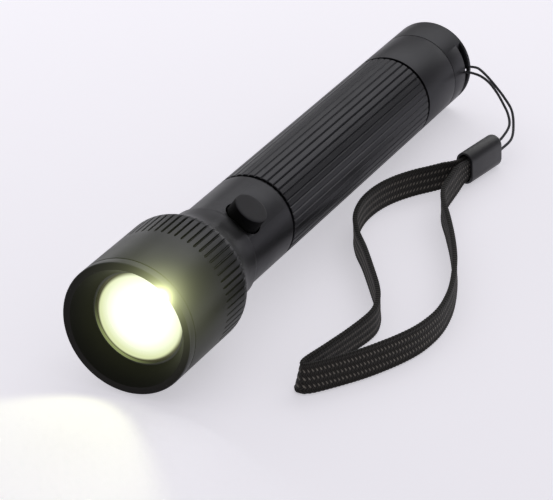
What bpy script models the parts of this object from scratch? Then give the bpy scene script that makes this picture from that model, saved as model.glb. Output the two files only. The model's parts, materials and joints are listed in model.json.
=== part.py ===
"""Zoom torch for three C cells, lying on its side with its wrist strap beside it.

Runs in Blender 4.5: blender --background --python part.py. Metres, +Z up. The torch is built along the
+Y axis of an empty, from the front face of its bezel to the end face of its tail cap, and that empty is
tilted so that the shoulder of the head and the edge of the tail cap both touch the ground. Places along
the torch are distances from the front face, and end in _Y.
"""
from math import atan, cos, pi, radians, sin, tau

import bmesh
import bpy
from mathutils import Matrix, Vector

MM = 0.001

# Clearances
SEAT_GAP = 0.3 * MM
SLIDE_GAP = 0.3 * MM
THREAD_GAP = 0.3 * MM
BUTTON_GAP = 0.6 * MM

# Bezel ring and front opening
FRONT_CHAMFER = 0.65 * MM
BEZEL_RIM = 2.45 * MM
BEZEL_BAND = 2.2 * MM
BEZEL_SKIRT_STEP = 1.85 * MM
CONE_SHELF = 1.2 * MM
CONE_LAND = 1.0 * MM
BEZEL_LIP_Y = 8.2 * MM
BEZEL_LIP_THICKNESS = 1.0 * MM

# Lens and gasket
LENS_DOME_HEIGHT = 4.6 * MM
LENS_SEAT = 0.4 * MM
LENS_FLANGE_WIDTH = 3.2 * MM
LENS_FLANGE_THICKNESS = 2.0 * MM
GASKET_THICKNESS = 1.0 * MM
GASKET_WIDTH = 3.2 * MM

# Head barrel
HEAD_WALL = 4.75 * MM
HEAD_STOP_SETBACK = 4.2 * MM
HEAD_REAR_LENGTH = 20.5 * MM
HEAD_LIP_WALL = 0.55 * MM
HEAD_TAPER_STEP = 1.3 * MM
HEAD_CURVE_LENGTHS = (2.5 * MM, 5.5 * MM, 12.5 * MM)
HEAD_CURVE_SHARES = (0.12, 0.43, 1.0)
HEAD_LIP_LENGTH = 2.7 * MM
SLOT_COUNT = 60
SLOT_WIDTH = 0.9 * MM
SLOT_DEPTH = 1.5 * MM
SLOT_LEAD = 12.0 * MM
SLOT_RAMP = 1.6 * MM
FOCUS_TRAVEL = 9.0 * MM

# Switch housing, which is also the neck that the head slides on
NECK_FLANGE_LENGTH = 4.0 * MM
NECK_FLANGE_HEIGHT = 1.65 * MM
PILL_BORE_WALL = 1.55 * MM
NECK_WALL = 3.55 * MM
CARRIER_LEAD = 9.8 * MM
HOUSING_REAR_LENGTH = 22.2 * MM
SPIGOT_STEP = 1.2 * MM
SPIGOT_WALL = 1.35 * MM
SPIGOT_LENGTH = 9.0 * MM

# Friction ring on the neck
RING_SETBACK = 3.0 * MM
RING_GROOVE_WIDTH = 2.0 * MM
RING_GROOVE_DEPTH = 1.25 * MM
RING_CORD_RADIUS = 0.62 * MM
RING_SQUEEZE_GAP = 0.12 * MM

# Light engine
PILL_WALL = 1.2 * MM
PILL_PLATE = 3.6 * MM
PILL_LENGTH = 9.6 * MM
BOARD_RADIUS = 10.0 * MM
BOARD_THICKNESS = 1.6 * MM
EMITTER_WIDTH = 5.0 * MM
EMITTER_BASE = 0.7 * MM
EMITTER_DOME_RADIUS = 1.9 * MM
COLLAR_LENGTH = 6.6 * MM
COLLAR_PLAY = 1.4 * MM
COLLAR_WALL = 2.0 * MM
COLLAR_THROAT_RADIUS = 4.2 * MM
COLLAR_THROAT_LENGTH = 1.0 * MM
DRIVER_THICKNESS = 1.7 * MM
DRIVER_PLAY = 0.5 * MM

# Push switch, in a frame whose +Z is the way the button faces
BUTTON_SETBACK = 1.0 * MM
BUTTON_ANGLE = radians(36.0)
BUTTON_RADIUS = 6.0 * MM
BUTTON_PROUD = 4.25 * MM
BUTTON_EDGE = 0.5 * MM
BUTTON_FLANGE_RADIUS = 7.5 * MM
BUTTON_FLANGE_SINK = 2.7 * MM
BUTTON_FLANGE_THICKNESS = 1.2 * MM
BUTTON_TRAVEL = 2.0 * MM
PLUNGER_RADIUS = 2.2 * MM
PLUNGER_LENGTH = 4.7 * MM
SWITCH_WIDTH = 12.0 * MM
SWITCH_HEIGHT = 8.2 * MM
SWITCH_CLEARANCE = 2.4 * MM
CARRIER_LENGTH = 19.5 * MM
CONTACT_RADIUS = 5.0 * MM
CONTACT_THICKNESS = 0.7 * MM

# C cells, a standard size
CELL_RADIUS = 13.1 * MM
CELL_PITCH = 50.0 * MM
CELL_COUNT = 3
CELL_NUB_RADIUS = 3.6 * MM
CELL_NUB_HEIGHT = 1.5 * MM
CELL_EDGE = 0.8 * MM

# Battery tube with its fluted grip
FLUTE_COUNT = 42
FLUTE_WIDTH = 0.8 * MM
FLUTE_DEPTH = 0.55 * MM
CELL_PLAY = 1.1 * MM
TUBE_WALL = 1.85 * MM
LINER_WALL = 0.6 * MM
RELIEF_DEPTH = 0.8 * MM
FRONT_RELIEF_WIDTH = 1.5 * MM
REAR_RELIEF_WIDTH = 1.3 * MM
GRIP_SETBACK = 24.1 * MM
CELLS_PROUD = 2.6 * MM

# Tail cap, its seal and its spring
TAIL_LENGTH = 14.7 * MM
TAIL_CHAMFER = 0.5 * MM
TAIL_SKIRT_LENGTH = 9.6 * MM
TAIL_FLOOR = 1.0 * MM
SEAL_GROOVE_WIDTH = 1.5 * MM
SEAL_GROOVE_DEPTH = 0.8 * MM
SEAL_CORD_RADIUS = 0.42 * MM
SEAL_SETBACK = 2.2 * MM
LANYARD_BAR = 1.8 * MM
LANYARD_SLOT_WIDTH = 3.6 * MM
LANYARD_SLOT_DEPTH = 4.05 * MM
LANYARD_HOLE_RADIUS = 1.25 * MM
LANYARD_HOLE_INSET = 1.5 * MM
SPRING_WIRE_RADIUS = 0.45 * MM
SPRING_TURNS = 3
SPRING_SMALL_RADIUS = 4.0 * MM
SPRING_INSET = 2.0 * MM
DISC_PLAY = 2.5 * MM
DISC_THICKNESS = 0.5 * MM

# Lanyard cord, ferrule and wrist strap, lying on the ground in world coordinates
CORD_RADIUS = 0.5 * MM
FERRULE_LENGTH = 19.5 * MM
FERRULE_HEIGHT = 12.0 * MM
FERRULE_THICKNESS = 7.0 * MM
FERRULE_SIDE_WALL = 1.0 * MM
FERRULE_EDGE_WALL = 0.7 * MM
FERRULE_END_WALL = 3.0 * MM
FERRULE_ROUNDING = 1.6 * MM
FERRULE_ROUNDING_SHARES = ((0.55, 0.2), (0.9, 0.6), (1.0, 1.0))
FERRULE_MOUTH = (38.5 * MM, 59.9 * MM)
FERRULE_HEADING = radians(78.9)
STRAP_WIDTH = 10.0 * MM
STRAP_THICKNESS = 1.6 * MM
STRAP_LIFT = 0.1 * MM
STRAP_END_WIDTH = 7.4 * MM
STRAP_INSERT = 5.2 * MM
STRAP_GATHER = 8.0 * MM
STRAP_STEPS = 2
STRAP_ROUTE_MM = (
    (38.4, 65.0, 6.0), (37.5, 60.1, 6.0), (35.4, 55.2, 5.8), (31.2, 50.4, 5.4), (25.3, 43.8, 5.1),
    (20.9, 35.7, 5.1), (18.6, 27.0, 5.1), (18.4, 17.0, 5.1), (20.9, 6.2, 5.1), (26.2, -4.1, 5.1),
    (33.6, -14.3, 5.1), (42.0, -26.9, 5.1), (49.3, -38.4, 5.1), (53.3, -47.0, 5.1), (54.8, -55.3, 5.1),
    (53.1, -67.3, 5.1), (50.0, -80.5, 5.1), (47.5, -91.5, 5.1), (48.7, -95.9, 5.1), (51.6, -95.0, 5.1),
    (56.6, -89.1, 5.1), (62.0, -81.7, 5.1), (66.1, -74.8, 5.1), (70.3, -66.3, 5.1), (73.2, -57.5, 5.1),
    (74.4, -47.0, 5.1), (73.4, -36.7, 5.1), (70.6, -25.5, 5.1), (65.2, -11.0, 5.1), (58.3, 3.3, 5.1),
    (50.6, 17.2, 5.1), (44.0, 28.4, 5.1), (40.6, 37.0, 5.2), (39.5, 46.8, 5.5), (39.1, 54.5, 5.8),
    (39.6, 59.7, 6.0), (40.5, 64.6, 6.0),
)
CORD_STEPS = 2
CORD_ROUTE_MM = (
    (41.15, 79.7, 6.7), (41.4, 81.2, 6.7), (42.0, 86.6, 7.2), (41.5, 94.0, 8.3), (38.9, 99.3, 10.0),
    (35.6, 102.9, 12.0), (31.6, 106.6, 14.2), (27.0, 110.6, 15.7), (22.4, 113.8, 16.2), (18.2, 115.6, 16.1),
    (14.6, 115.9, 16.0), (13.5, 117.4, 16.0), (13.5, 119.3, 16.0), (14.4, 120.6, 16.0), (17.3, 120.7, 16.1),
    (19.9, 118.6, 16.5), (24.7, 114.2, 16.3), (30.0, 110.0, 14.7), (34.2, 107.1, 12.6), (38.4, 103.9, 9.6),
    (41.8, 97.3, 7.0), (44.4, 88.9, 5.8), (43.9, 81.2, 5.3), (43.6, 79.3, 5.3),
)

# Facet counts; a flat of the head and of the tail cap faces the ground
HEAD_SIDES = SLOT_COUNT
BODY_SIDES = FLUTE_COUNT
LENS_SIDES = 36
INNER_SIDES = 24
SMALL_SIDES = 20
HOLE_SIDES = 12
ROUND_CORD_SIDES = 6
END_ARC_STEPS = 6
LENS_ARC_STEPS = 6
EMITTER_ARC_STEPS = 4
SPRING_STEPS_PER_TURN = 12

# Radii that follow from the sizes above, outward from the cells
TUBE_BORE_RADIUS = CELL_RADIUS + CELL_PLAY
BODY_RADIUS = TUBE_BORE_RADIUS + TUBE_WALL
SPIGOT_RADIUS = BODY_RADIUS - SPIGOT_STEP
SPIGOT_BORE_RADIUS = SPIGOT_RADIUS - SPIGOT_WALL
SOCKET_RADIUS = SPIGOT_RADIUS + THREAD_GAP
NECK_BORE_RADIUS = BODY_RADIUS - NECK_WALL
PILL_BORE_RADIUS = BODY_RADIUS - PILL_BORE_WALL
DRIVER_RADIUS = PILL_BORE_RADIUS - DRIVER_PLAY
RING_GROOVE_RADIUS = BODY_RADIUS - RING_GROOVE_DEPTH
NECK_FLANGE_RADIUS = BODY_RADIUS + NECK_FLANGE_HEIGHT
HEAD_SLEEVE_RADIUS = BODY_RADIUS + SLIDE_GAP
HEAD_LIP_RADIUS = HEAD_SLEEVE_RADIUS + HEAD_LIP_WALL
HEAD_TAPER_RADIUS = HEAD_LIP_RADIUS + HEAD_TAPER_STEP
HEAD_BORE_RADIUS = NECK_FLANGE_RADIUS + SLIDE_GAP
HEAD_RADIUS = HEAD_BORE_RADIUS + HEAD_WALL
FRONT_RADIUS = HEAD_RADIUS - FRONT_CHAMFER
FRONT_BORE_RADIUS = HEAD_RADIUS - BEZEL_RIM
BEZEL_SKIRT_RADIUS = HEAD_RADIUS - BEZEL_SKIRT_STEP
HEAD_BEZEL_BORE = BEZEL_SKIRT_RADIUS + THREAD_GAP
LENS_FLANGE_RADIUS = HEAD_BORE_RADIUS + LENS_SEAT
LENS_POCKET_RADIUS = LENS_FLANGE_RADIUS + SEAT_GAP
LENS_DOME_RADIUS = LENS_FLANGE_RADIUS - LENS_FLANGE_WIDTH
CONE_END_RADIUS = LENS_DOME_RADIUS + CONE_SHELF
COLLAR_RADIUS = HEAD_BORE_RADIUS - COLLAR_PLAY
COLLAR_MOUTH_RADIUS = COLLAR_RADIUS - COLLAR_WALL
BUTTON_HOLE_RADIUS = BUTTON_RADIUS + BUTTON_GAP
BUTTON_TOP = BODY_RADIUS + BUTTON_PROUD
BUTTON_FLANGE_TOP = SPIGOT_BORE_RADIUS - BUTTON_FLANGE_SINK
SWITCH_TOP = BUTTON_FLANGE_TOP - BUTTON_FLANGE_THICKNESS - BUTTON_TRAVEL - SWITCH_CLEARANCE
LANYARD_SLOT_FLOOR = BODY_RADIUS - LANYARD_SLOT_DEPTH
LANYARD_HOLE_OFFSET = LANYARD_SLOT_FLOOR + LANYARD_HOLE_INSET
DISC_RADIUS = SPIGOT_BORE_RADIUS - DISC_PLAY
SPRING_LARGE_RADIUS = DISC_RADIUS - SPRING_INSET

# Places that follow, from the front face to the tail
CONE_DEPTH = BEZEL_LIP_Y - CONE_LAND
BEZEL_END_Y = BEZEL_LIP_Y + BEZEL_LIP_THICKNESS
LENS_FRONT_Y = BEZEL_END_Y + SEAT_GAP
LENS_BACK_Y = LENS_FRONT_Y + LENS_FLANGE_THICKNESS
GASKET_Y = LENS_BACK_Y + SEAT_GAP
GASKET_BACK_Y = GASKET_Y + GASKET_THICKNESS
HEAD_SHELF_Y = GASKET_BACK_Y + SEAT_GAP
NECK_FRONT_Y = HEAD_SHELF_Y + COLLAR_LENGTH + SEAT_GAP
BOARD_FRONT_Y = NECK_FRONT_Y - BOARD_THICKNESS
DRIVER_SHELF_Y = NECK_FRONT_Y + PILL_LENGTH + DRIVER_THICKNESS + 3 * SEAT_GAP
HEAD_STOP_Y = NECK_FRONT_Y + NECK_FLANGE_LENGTH + FOCUS_TRAVEL + SEAT_GAP
HEAD_SHOULDER_Y = HEAD_STOP_Y + HEAD_STOP_SETBACK
HEAD_LENGTH_Y = HEAD_SHOULDER_Y + HEAD_REAR_LENGTH
SLOT_FRONT_Y = HEAD_SHOULDER_Y - SLOT_LEAD
RING_Y = HEAD_LENGTH_Y - FOCUS_TRAVEL - RING_SETBACK
BUTTON_Y = HEAD_LENGTH_Y + BUTTON_SETBACK + BUTTON_RADIUS
CARRIER_BORE_Y = BUTTON_Y - CARRIER_LEAD
CARRIER_FRONT_Y = CARRIER_BORE_Y + SEAT_GAP
CARRIER_BACK_Y = CARRIER_FRONT_Y + CARRIER_LENGTH
CONTACT_Y = CARRIER_BACK_Y + SEAT_GAP
CELLS_Y = CONTACT_Y + CONTACT_THICKNESS + SEAT_GAP
CELLS_END_Y = CELLS_Y + CELL_COUNT * CELL_PITCH - SEAT_GAP
HOUSING_END_Y = BUTTON_Y + HOUSING_REAR_LENGTH
SPIGOT_END_Y = HOUSING_END_Y + SPIGOT_LENGTH
TUBE_FRONT_Y = HOUSING_END_Y + SEAT_GAP
TUBE_END_Y = CELLS_END_Y - CELLS_PROUD
GRIP_FRONT_Y = TUBE_FRONT_Y + FRONT_RELIEF_WIDTH
GRIP_END_Y = TUBE_END_Y - GRIP_SETBACK
TAIL_FRONT_Y = TUBE_END_Y + SEAT_GAP
TAIL_END_Y = TAIL_FRONT_Y + TAIL_LENGTH
SKIRT_FRONT_Y = TAIL_FRONT_Y - TAIL_SKIRT_LENGTH
SEAL_Y = TAIL_FRONT_Y - SEAL_SETBACK
LANYARD_SLOT_END_Y = TAIL_END_Y - LANYARD_BAR
LANYARD_SLOT_Y = LANYARD_SLOT_END_Y - LANYARD_SLOT_WIDTH
TAIL_CAVITY_END_Y = LANYARD_SLOT_Y - TAIL_FLOOR
DISC_Y = TAIL_CAVITY_END_Y - SEAT_GAP - DISC_THICKNESS

# How the torch lies on the ground, on the shoulder of its head and the edge of its tail
LIE_TILT = atan((HEAD_RADIUS * cos(pi / HEAD_SIDES) - BODY_RADIUS * cos(pi / BODY_SIDES))
                / (TAIL_END_Y - TAIL_CHAMFER - HEAD_SHOULDER_Y))
LIE_HEIGHT = HEAD_SHOULDER_Y * sin(LIE_TILT) + HEAD_RADIUS * cos(pi / HEAD_SIDES) * cos(LIE_TILT)
FRONT_REACH = FRONT_RADIUS * cos(pi / HEAD_SIDES) * sin(LIE_TILT)
TAIL_REACH = (TAIL_END_Y * cos(LIE_TILT)
              + (BODY_RADIUS - TAIL_CHAMFER) * cos(pi / BODY_SIDES) * sin(LIE_TILT))
LIE_START = (FRONT_REACH - TAIL_REACH) / 2

# Colours, roughness and metallic value of each material
FINISHES = {
    "anodised_black": ((0.022, 0.022, 0.024), 0.42, 0.6),
    "lens_acrylic": ((0.95, 0.98, 0.80), 0.05, 0.0),
    "seal_rubber": ((0.020, 0.020, 0.021), 0.80, 0.0),
    "button_rubber": ((0.018, 0.018, 0.020), 0.70, 0.0),
    "turned_aluminium": ((0.60, 0.61, 0.62), 0.35, 1.0),
    "circuit_board": ((0.80, 0.82, 0.80), 0.45, 0.0),
    "emitter_yellow": ((0.90, 0.78, 0.12), 0.30, 0.0),
    "collar_black": ((0.020, 0.020, 0.020), 0.50, 0.0),
    "driver_green": ((0.05, 0.20, 0.09), 0.50, 0.0),
    "switch_plastic": ((0.030, 0.030, 0.032), 0.45, 0.0),
    "plunger_plastic": ((0.55, 0.55, 0.52), 0.40, 0.0),
    "contact_brass": ((0.72, 0.53, 0.24), 0.30, 1.0),
    "liner_plastic": ((0.70, 0.70, 0.68), 0.50, 0.0),
    "cell_jacket": ((0.45, 0.46, 0.48), 0.35, 0.7),
    "spring_steel": ((0.65, 0.66, 0.68), 0.25, 1.0),
    "ferrule_plastic": ((0.024, 0.024, 0.026), 0.35, 0.0),
    "cord_nylon": ((0.030, 0.030, 0.032), 0.75, 0.0),
    "strap_webbing": ((0.020, 0.019, 0.018), 0.85, 0.0),
}


def clear_scene():
    for item in list(bpy.data.objects):
        bpy.data.objects.remove(item, do_unlink=True)


def material(name):
    found = bpy.data.materials.get(name)
    if found:
        return found
    made = bpy.data.materials.new(name)
    made.use_nodes = True
    colour, roughness, metallic = FINISHES[name]
    shader = made.node_tree.nodes["Principled BSDF"]
    shader.inputs["Base Color"].default_value = (*colour, 1.0)
    shader.inputs["Roughness"].default_value = roughness
    shader.inputs["Metallic"].default_value = metallic
    return made


def empty(name, parent=None, location=(0, 0, 0), rotation=(0, 0, 0)):
    made = bpy.data.objects.new(name, None)
    made.empty_display_size = 10 * MM
    made.location = location
    made.rotation_euler = rotation
    made.parent = parent
    bpy.context.collection.objects.link(made)
    return made


def add_object(name, data, parent=None, finish=None):
    made = bpy.data.objects.new(name, data)
    made.parent = parent
    bpy.context.collection.objects.link(made)
    if finish:
        made.data.materials.append(material(finish))
    return made


def finish_mesh(bm, name):
    bmesh.ops.remove_doubles(bm, verts=bm.verts, dist=1e-6)
    bmesh.ops.recalc_face_normals(bm, faces=bm.faces)
    data = bpy.data.meshes.new(name)
    bm.to_mesh(data)
    bm.free()
    data.shade_smooth()
    data.set_sharp_from_angle(angle=radians(30))
    return data


def spin_profile(bm, profile, sides, axis=(0, 1, 0), centre=(0, 0, 0)):
    """Turn a closed outline of (place along the axis, radius) about an axis of the current frame."""
    along = Vector(axis)
    across = Vector((0, 0, -1)) if abs(along.y) > 0.5 else Vector((1, 0, 0))
    across = Matrix.Rotation(pi / sides, 3, along) @ across
    points = [Vector(centre) + along * place + across * radius for place, radius in profile]
    corners = [bm.verts.new(point) for point in points]
    edges = [bm.edges.new(pair) for pair in zip(corners, corners[1:] + corners[:1])]
    bmesh.ops.spin(bm, geom=corners + edges, cent=centre, axis=axis, angle=tau, steps=sides)


def rod(start, end, radius):
    """The outline of a solid round piece."""
    return [(start, 0), (start, radius), (end, radius), (end, 0)]


def turned(name, profile, sides, parent, finish, axis=(0, 1, 0)):
    bm = bmesh.new()
    spin_profile(bm, profile, sides, axis)
    return add_object(name, finish_mesh(bm, name), parent, finish)


def ring_outline(place, middle_radius, cord_radius):
    turns = [tau * k / ROUND_CORD_SIDES for k in range(ROUND_CORD_SIDES)]
    return [(place + cord_radius * cos(turn), middle_radius + cord_radius * sin(turn)) for turn in turns]


def add_box(bm, low, high):
    size = [high[k] - low[k] for k in range(3)]
    middle = [(high[k] + low[k]) / 2 for k in range(3)]
    shape = Matrix.Translation(middle) @ Matrix.Diagonal((*size, 1))
    bmesh.ops.create_cube(bm, size=1, matrix=shape)


def cut(target, cutter_name, bm, cutter_parent=None):
    """Keep a Boolean difference on the target, with its cutter hidden from renders."""
    cutter = add_object(cutter_name, finish_mesh(bm, cutter_name), cutter_parent or target.parent)
    cutter.hide_render = True
    cutter.display_type = "WIRE"
    bite = target.modifiers.new(cutter_name, "BOOLEAN")
    bite.operation = "DIFFERENCE"
    bite.solver = "EXACT"
    bite.object = cutter


def prism(bm, outline, half_width, turn):
    """Extrude an outline of (place along the torch, radius), then turn it about the torch's axis."""
    face = bm.faces.new([bm.verts.new((-half_width, place, radius)) for place, radius in outline])
    grown = bmesh.ops.extrude_face_region(bm, geom=[face])["geom"]
    moved = [item for item in grown if isinstance(item, bmesh.types.BMVert)]
    bmesh.ops.translate(bm, verts=moved, vec=(2 * half_width, 0, 0))
    bmesh.ops.rotate(bm, verts=moved + list(face.verts), cent=(0, 0, 0),
                     matrix=Matrix.Rotation(turn, 3, (0, 1, 0)))


def bezel_ring(parent):
    back = BEZEL_END_Y
    lip_radius = LENS_DOME_RADIUS + SEAT_GAP
    profile = [
        (0, FRONT_BORE_RADIUS), (0, FRONT_RADIUS), (FRONT_CHAMFER, HEAD_RADIUS), (BEZEL_BAND, HEAD_RADIUS),
        (BEZEL_BAND, BEZEL_SKIRT_RADIUS), (back, BEZEL_SKIRT_RADIUS), (back, lip_radius),
        (BEZEL_LIP_Y, lip_radius), (BEZEL_LIP_Y, CONE_END_RADIUS), (CONE_DEPTH, CONE_END_RADIUS),
    ]
    return turned("bezel_ring", profile, HEAD_SIDES, parent, "anodised_black")


def lens(parent):
    dome = []
    for k in range(LENS_ARC_STEPS + 1):
        angle = pi / 2 * k / LENS_ARC_STEPS
        dome.append((LENS_FRONT_Y - LENS_DOME_HEIGHT * cos(angle), LENS_DOME_RADIUS * sin(angle)))
    flange = [(LENS_FRONT_Y, LENS_FLANGE_RADIUS), (LENS_BACK_Y, LENS_FLANGE_RADIUS), (LENS_BACK_Y, 0)]
    return turned("lens", dome + flange, LENS_SIDES, parent, "lens_acrylic")


def lens_gasket(parent):
    outer = LENS_FLANGE_RADIUS
    inner = outer - GASKET_WIDTH
    profile = [(GASKET_Y, inner), (GASKET_Y, outer), (GASKET_BACK_Y, outer), (GASKET_BACK_Y, inner)]
    return turned("lens_gasket", profile, INNER_SIDES, parent, "seal_rubber")


def head_barrel(parent):
    front = BEZEL_BAND + SEAT_GAP
    lens_pocket_y = BEZEL_END_Y + SEAT_GAP
    rounding = HEAD_RADIUS - HEAD_TAPER_RADIUS
    curve = [(HEAD_SHOULDER_Y + length, HEAD_RADIUS - share * rounding)
             for length, share in zip(HEAD_CURVE_LENGTHS, HEAD_CURVE_SHARES)]
    profile = [
        (front, HEAD_BEZEL_BORE), (front, HEAD_RADIUS), (HEAD_SHOULDER_Y, HEAD_RADIUS), *curve,
        (HEAD_LENGTH_Y - HEAD_LIP_LENGTH, HEAD_LIP_RADIUS + SLIDE_GAP), (HEAD_LENGTH_Y, HEAD_LIP_RADIUS),
        (HEAD_LENGTH_Y, HEAD_SLEEVE_RADIUS), (HEAD_STOP_Y, HEAD_SLEEVE_RADIUS),
        (HEAD_STOP_Y, HEAD_BORE_RADIUS), (HEAD_SHELF_Y, HEAD_BORE_RADIUS),
        (HEAD_SHELF_Y, LENS_POCKET_RADIUS), (lens_pocket_y, LENS_POCKET_RADIUS),
        (lens_pocket_y, HEAD_BEZEL_BORE),
    ]
    barrel = turned("head_barrel", profile, HEAD_SIDES, parent, "anodised_black")
    floor = HEAD_RADIUS - SLOT_DEPTH
    above = HEAD_RADIUS + SLOT_DEPTH
    slot = [(SLOT_FRONT_Y - SLOT_RAMP, above), (SLOT_FRONT_Y + SLOT_RAMP, floor),
            (HEAD_LENGTH_Y, floor), (HEAD_LENGTH_Y, above)]
    bm = bmesh.new()
    for k in range(SLOT_COUNT):
        prism(bm, slot, SLOT_WIDTH / 2, tau * k / SLOT_COUNT)
    cut(barrel, "head_slot_cutter", bm)
    return barrel


def switch_housing(parent):
    flange_back = NECK_FRONT_Y + NECK_FLANGE_LENGTH
    groove_front = RING_Y - RING_GROOVE_WIDTH / 2
    groove_back = RING_Y + RING_GROOVE_WIDTH / 2
    profile = [
        (NECK_FRONT_Y, PILL_BORE_RADIUS), (NECK_FRONT_Y, NECK_FLANGE_RADIUS),
        (flange_back, NECK_FLANGE_RADIUS), (flange_back, BODY_RADIUS),
        (groove_front, BODY_RADIUS), (groove_front, RING_GROOVE_RADIUS),
        (groove_back, RING_GROOVE_RADIUS), (groove_back, BODY_RADIUS), (HOUSING_END_Y, BODY_RADIUS),
        (HOUSING_END_Y, SPIGOT_RADIUS), (SPIGOT_END_Y, SPIGOT_RADIUS), (SPIGOT_END_Y, SPIGOT_BORE_RADIUS),
        (CARRIER_BORE_Y, SPIGOT_BORE_RADIUS), (CARRIER_BORE_Y, NECK_BORE_RADIUS),
        (DRIVER_SHELF_Y, NECK_BORE_RADIUS), (DRIVER_SHELF_Y, PILL_BORE_RADIUS),
    ]
    housing = turned("switch_housing", profile, BODY_SIDES, parent, "anodised_black")
    way = Vector((sin(BUTTON_ANGLE), 0, cos(BUTTON_ANGLE)))
    bm = bmesh.new()
    reach = 2 * BODY_RADIUS
    bmesh.ops.create_cone(
        bm, cap_ends=True, segments=SMALL_SIDES, radius1=BUTTON_HOLE_RADIUS, radius2=BUTTON_HOLE_RADIUS,
        depth=reach, matrix=Matrix.Translation(Vector((0, BUTTON_Y, 0)) + way * reach / 2)
        @ Matrix.Rotation(BUTTON_ANGLE, 4, "Y"))
    cut(housing, "button_hole_cutter", bm)
    return housing


def neck_ring(parent):
    middle = HEAD_SLEEVE_RADIUS - RING_SQUEEZE_GAP - RING_CORD_RADIUS
    profile = ring_outline(RING_Y, middle, RING_CORD_RADIUS)
    return turned("neck_o_ring", profile, INNER_SIDES, parent, "seal_rubber")


def light_engine(parent):
    outer = PILL_BORE_RADIUS - SEAT_GAP
    front = NECK_FRONT_Y + SEAT_GAP
    back = front + PILL_LENGTH
    pill = [(front, 0), (front, outer), (back, outer), (back, outer - PILL_WALL),
            (front + PILL_PLATE, outer - PILL_WALL), (front + PILL_PLATE, 0)]
    turned("led_pill", pill, INNER_SIDES, parent, "turned_aluminium")

    board = rod(BOARD_FRONT_Y, NECK_FRONT_Y, BOARD_RADIUS)
    turned("led_board", board, SMALL_SIDES, parent, "circuit_board")

    base_back = BOARD_FRONT_Y - SEAT_GAP
    base_front = base_back - EMITTER_BASE
    half = EMITTER_WIDTH / 2
    bm = bmesh.new()
    add_box(bm, (-half, base_front, -half), (half, base_back, half))
    emitter = add_object("led_emitter", finish_mesh(bm, "led_emitter"), parent, "emitter_yellow")
    turns = [pi / 2 * k / EMITTER_ARC_STEPS for k in range(EMITTER_ARC_STEPS + 1)]
    dome = [(base_front - EMITTER_DOME_RADIUS * sin(turn), EMITTER_DOME_RADIUS * cos(turn))
            for turn in turns]
    foot = base_back - EMITTER_BASE / 2
    bm = bmesh.new()
    spin_profile(bm, [(foot, 0), (foot, EMITTER_DOME_RADIUS)] + dome, SMALL_SIDES)
    cap = add_object("emitter_dome_shape", finish_mesh(bm, "emitter_dome_shape"), parent)
    cap.hide_render = True
    cap.display_type = "WIRE"
    join = emitter.modifiers.new("dome", "BOOLEAN")
    join.operation = "UNION"
    join.solver = "EXACT"
    join.object = cap

    collar_front = HEAD_SHELF_Y
    collar_back = NECK_FRONT_Y - SEAT_GAP
    board_bore = BOARD_RADIUS + SEAT_GAP
    rebate = BOARD_FRONT_Y - SEAT_GAP
    throat = rebate - COLLAR_THROAT_LENGTH
    collar = [(collar_front, COLLAR_MOUTH_RADIUS), (collar_front, COLLAR_RADIUS),
              (collar_back, COLLAR_RADIUS), (collar_back, board_bore), (rebate, board_bore),
              (rebate, COLLAR_THROAT_RADIUS), (throat, COLLAR_THROAT_RADIUS)]
    turned("led_collar", collar, INNER_SIDES, parent, "collar_black")

    driver = rod(back + SEAT_GAP, DRIVER_SHELF_Y - SEAT_GAP, DRIVER_RADIUS)
    turned("driver_board", driver, INNER_SIDES, parent, "driver_green")


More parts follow.
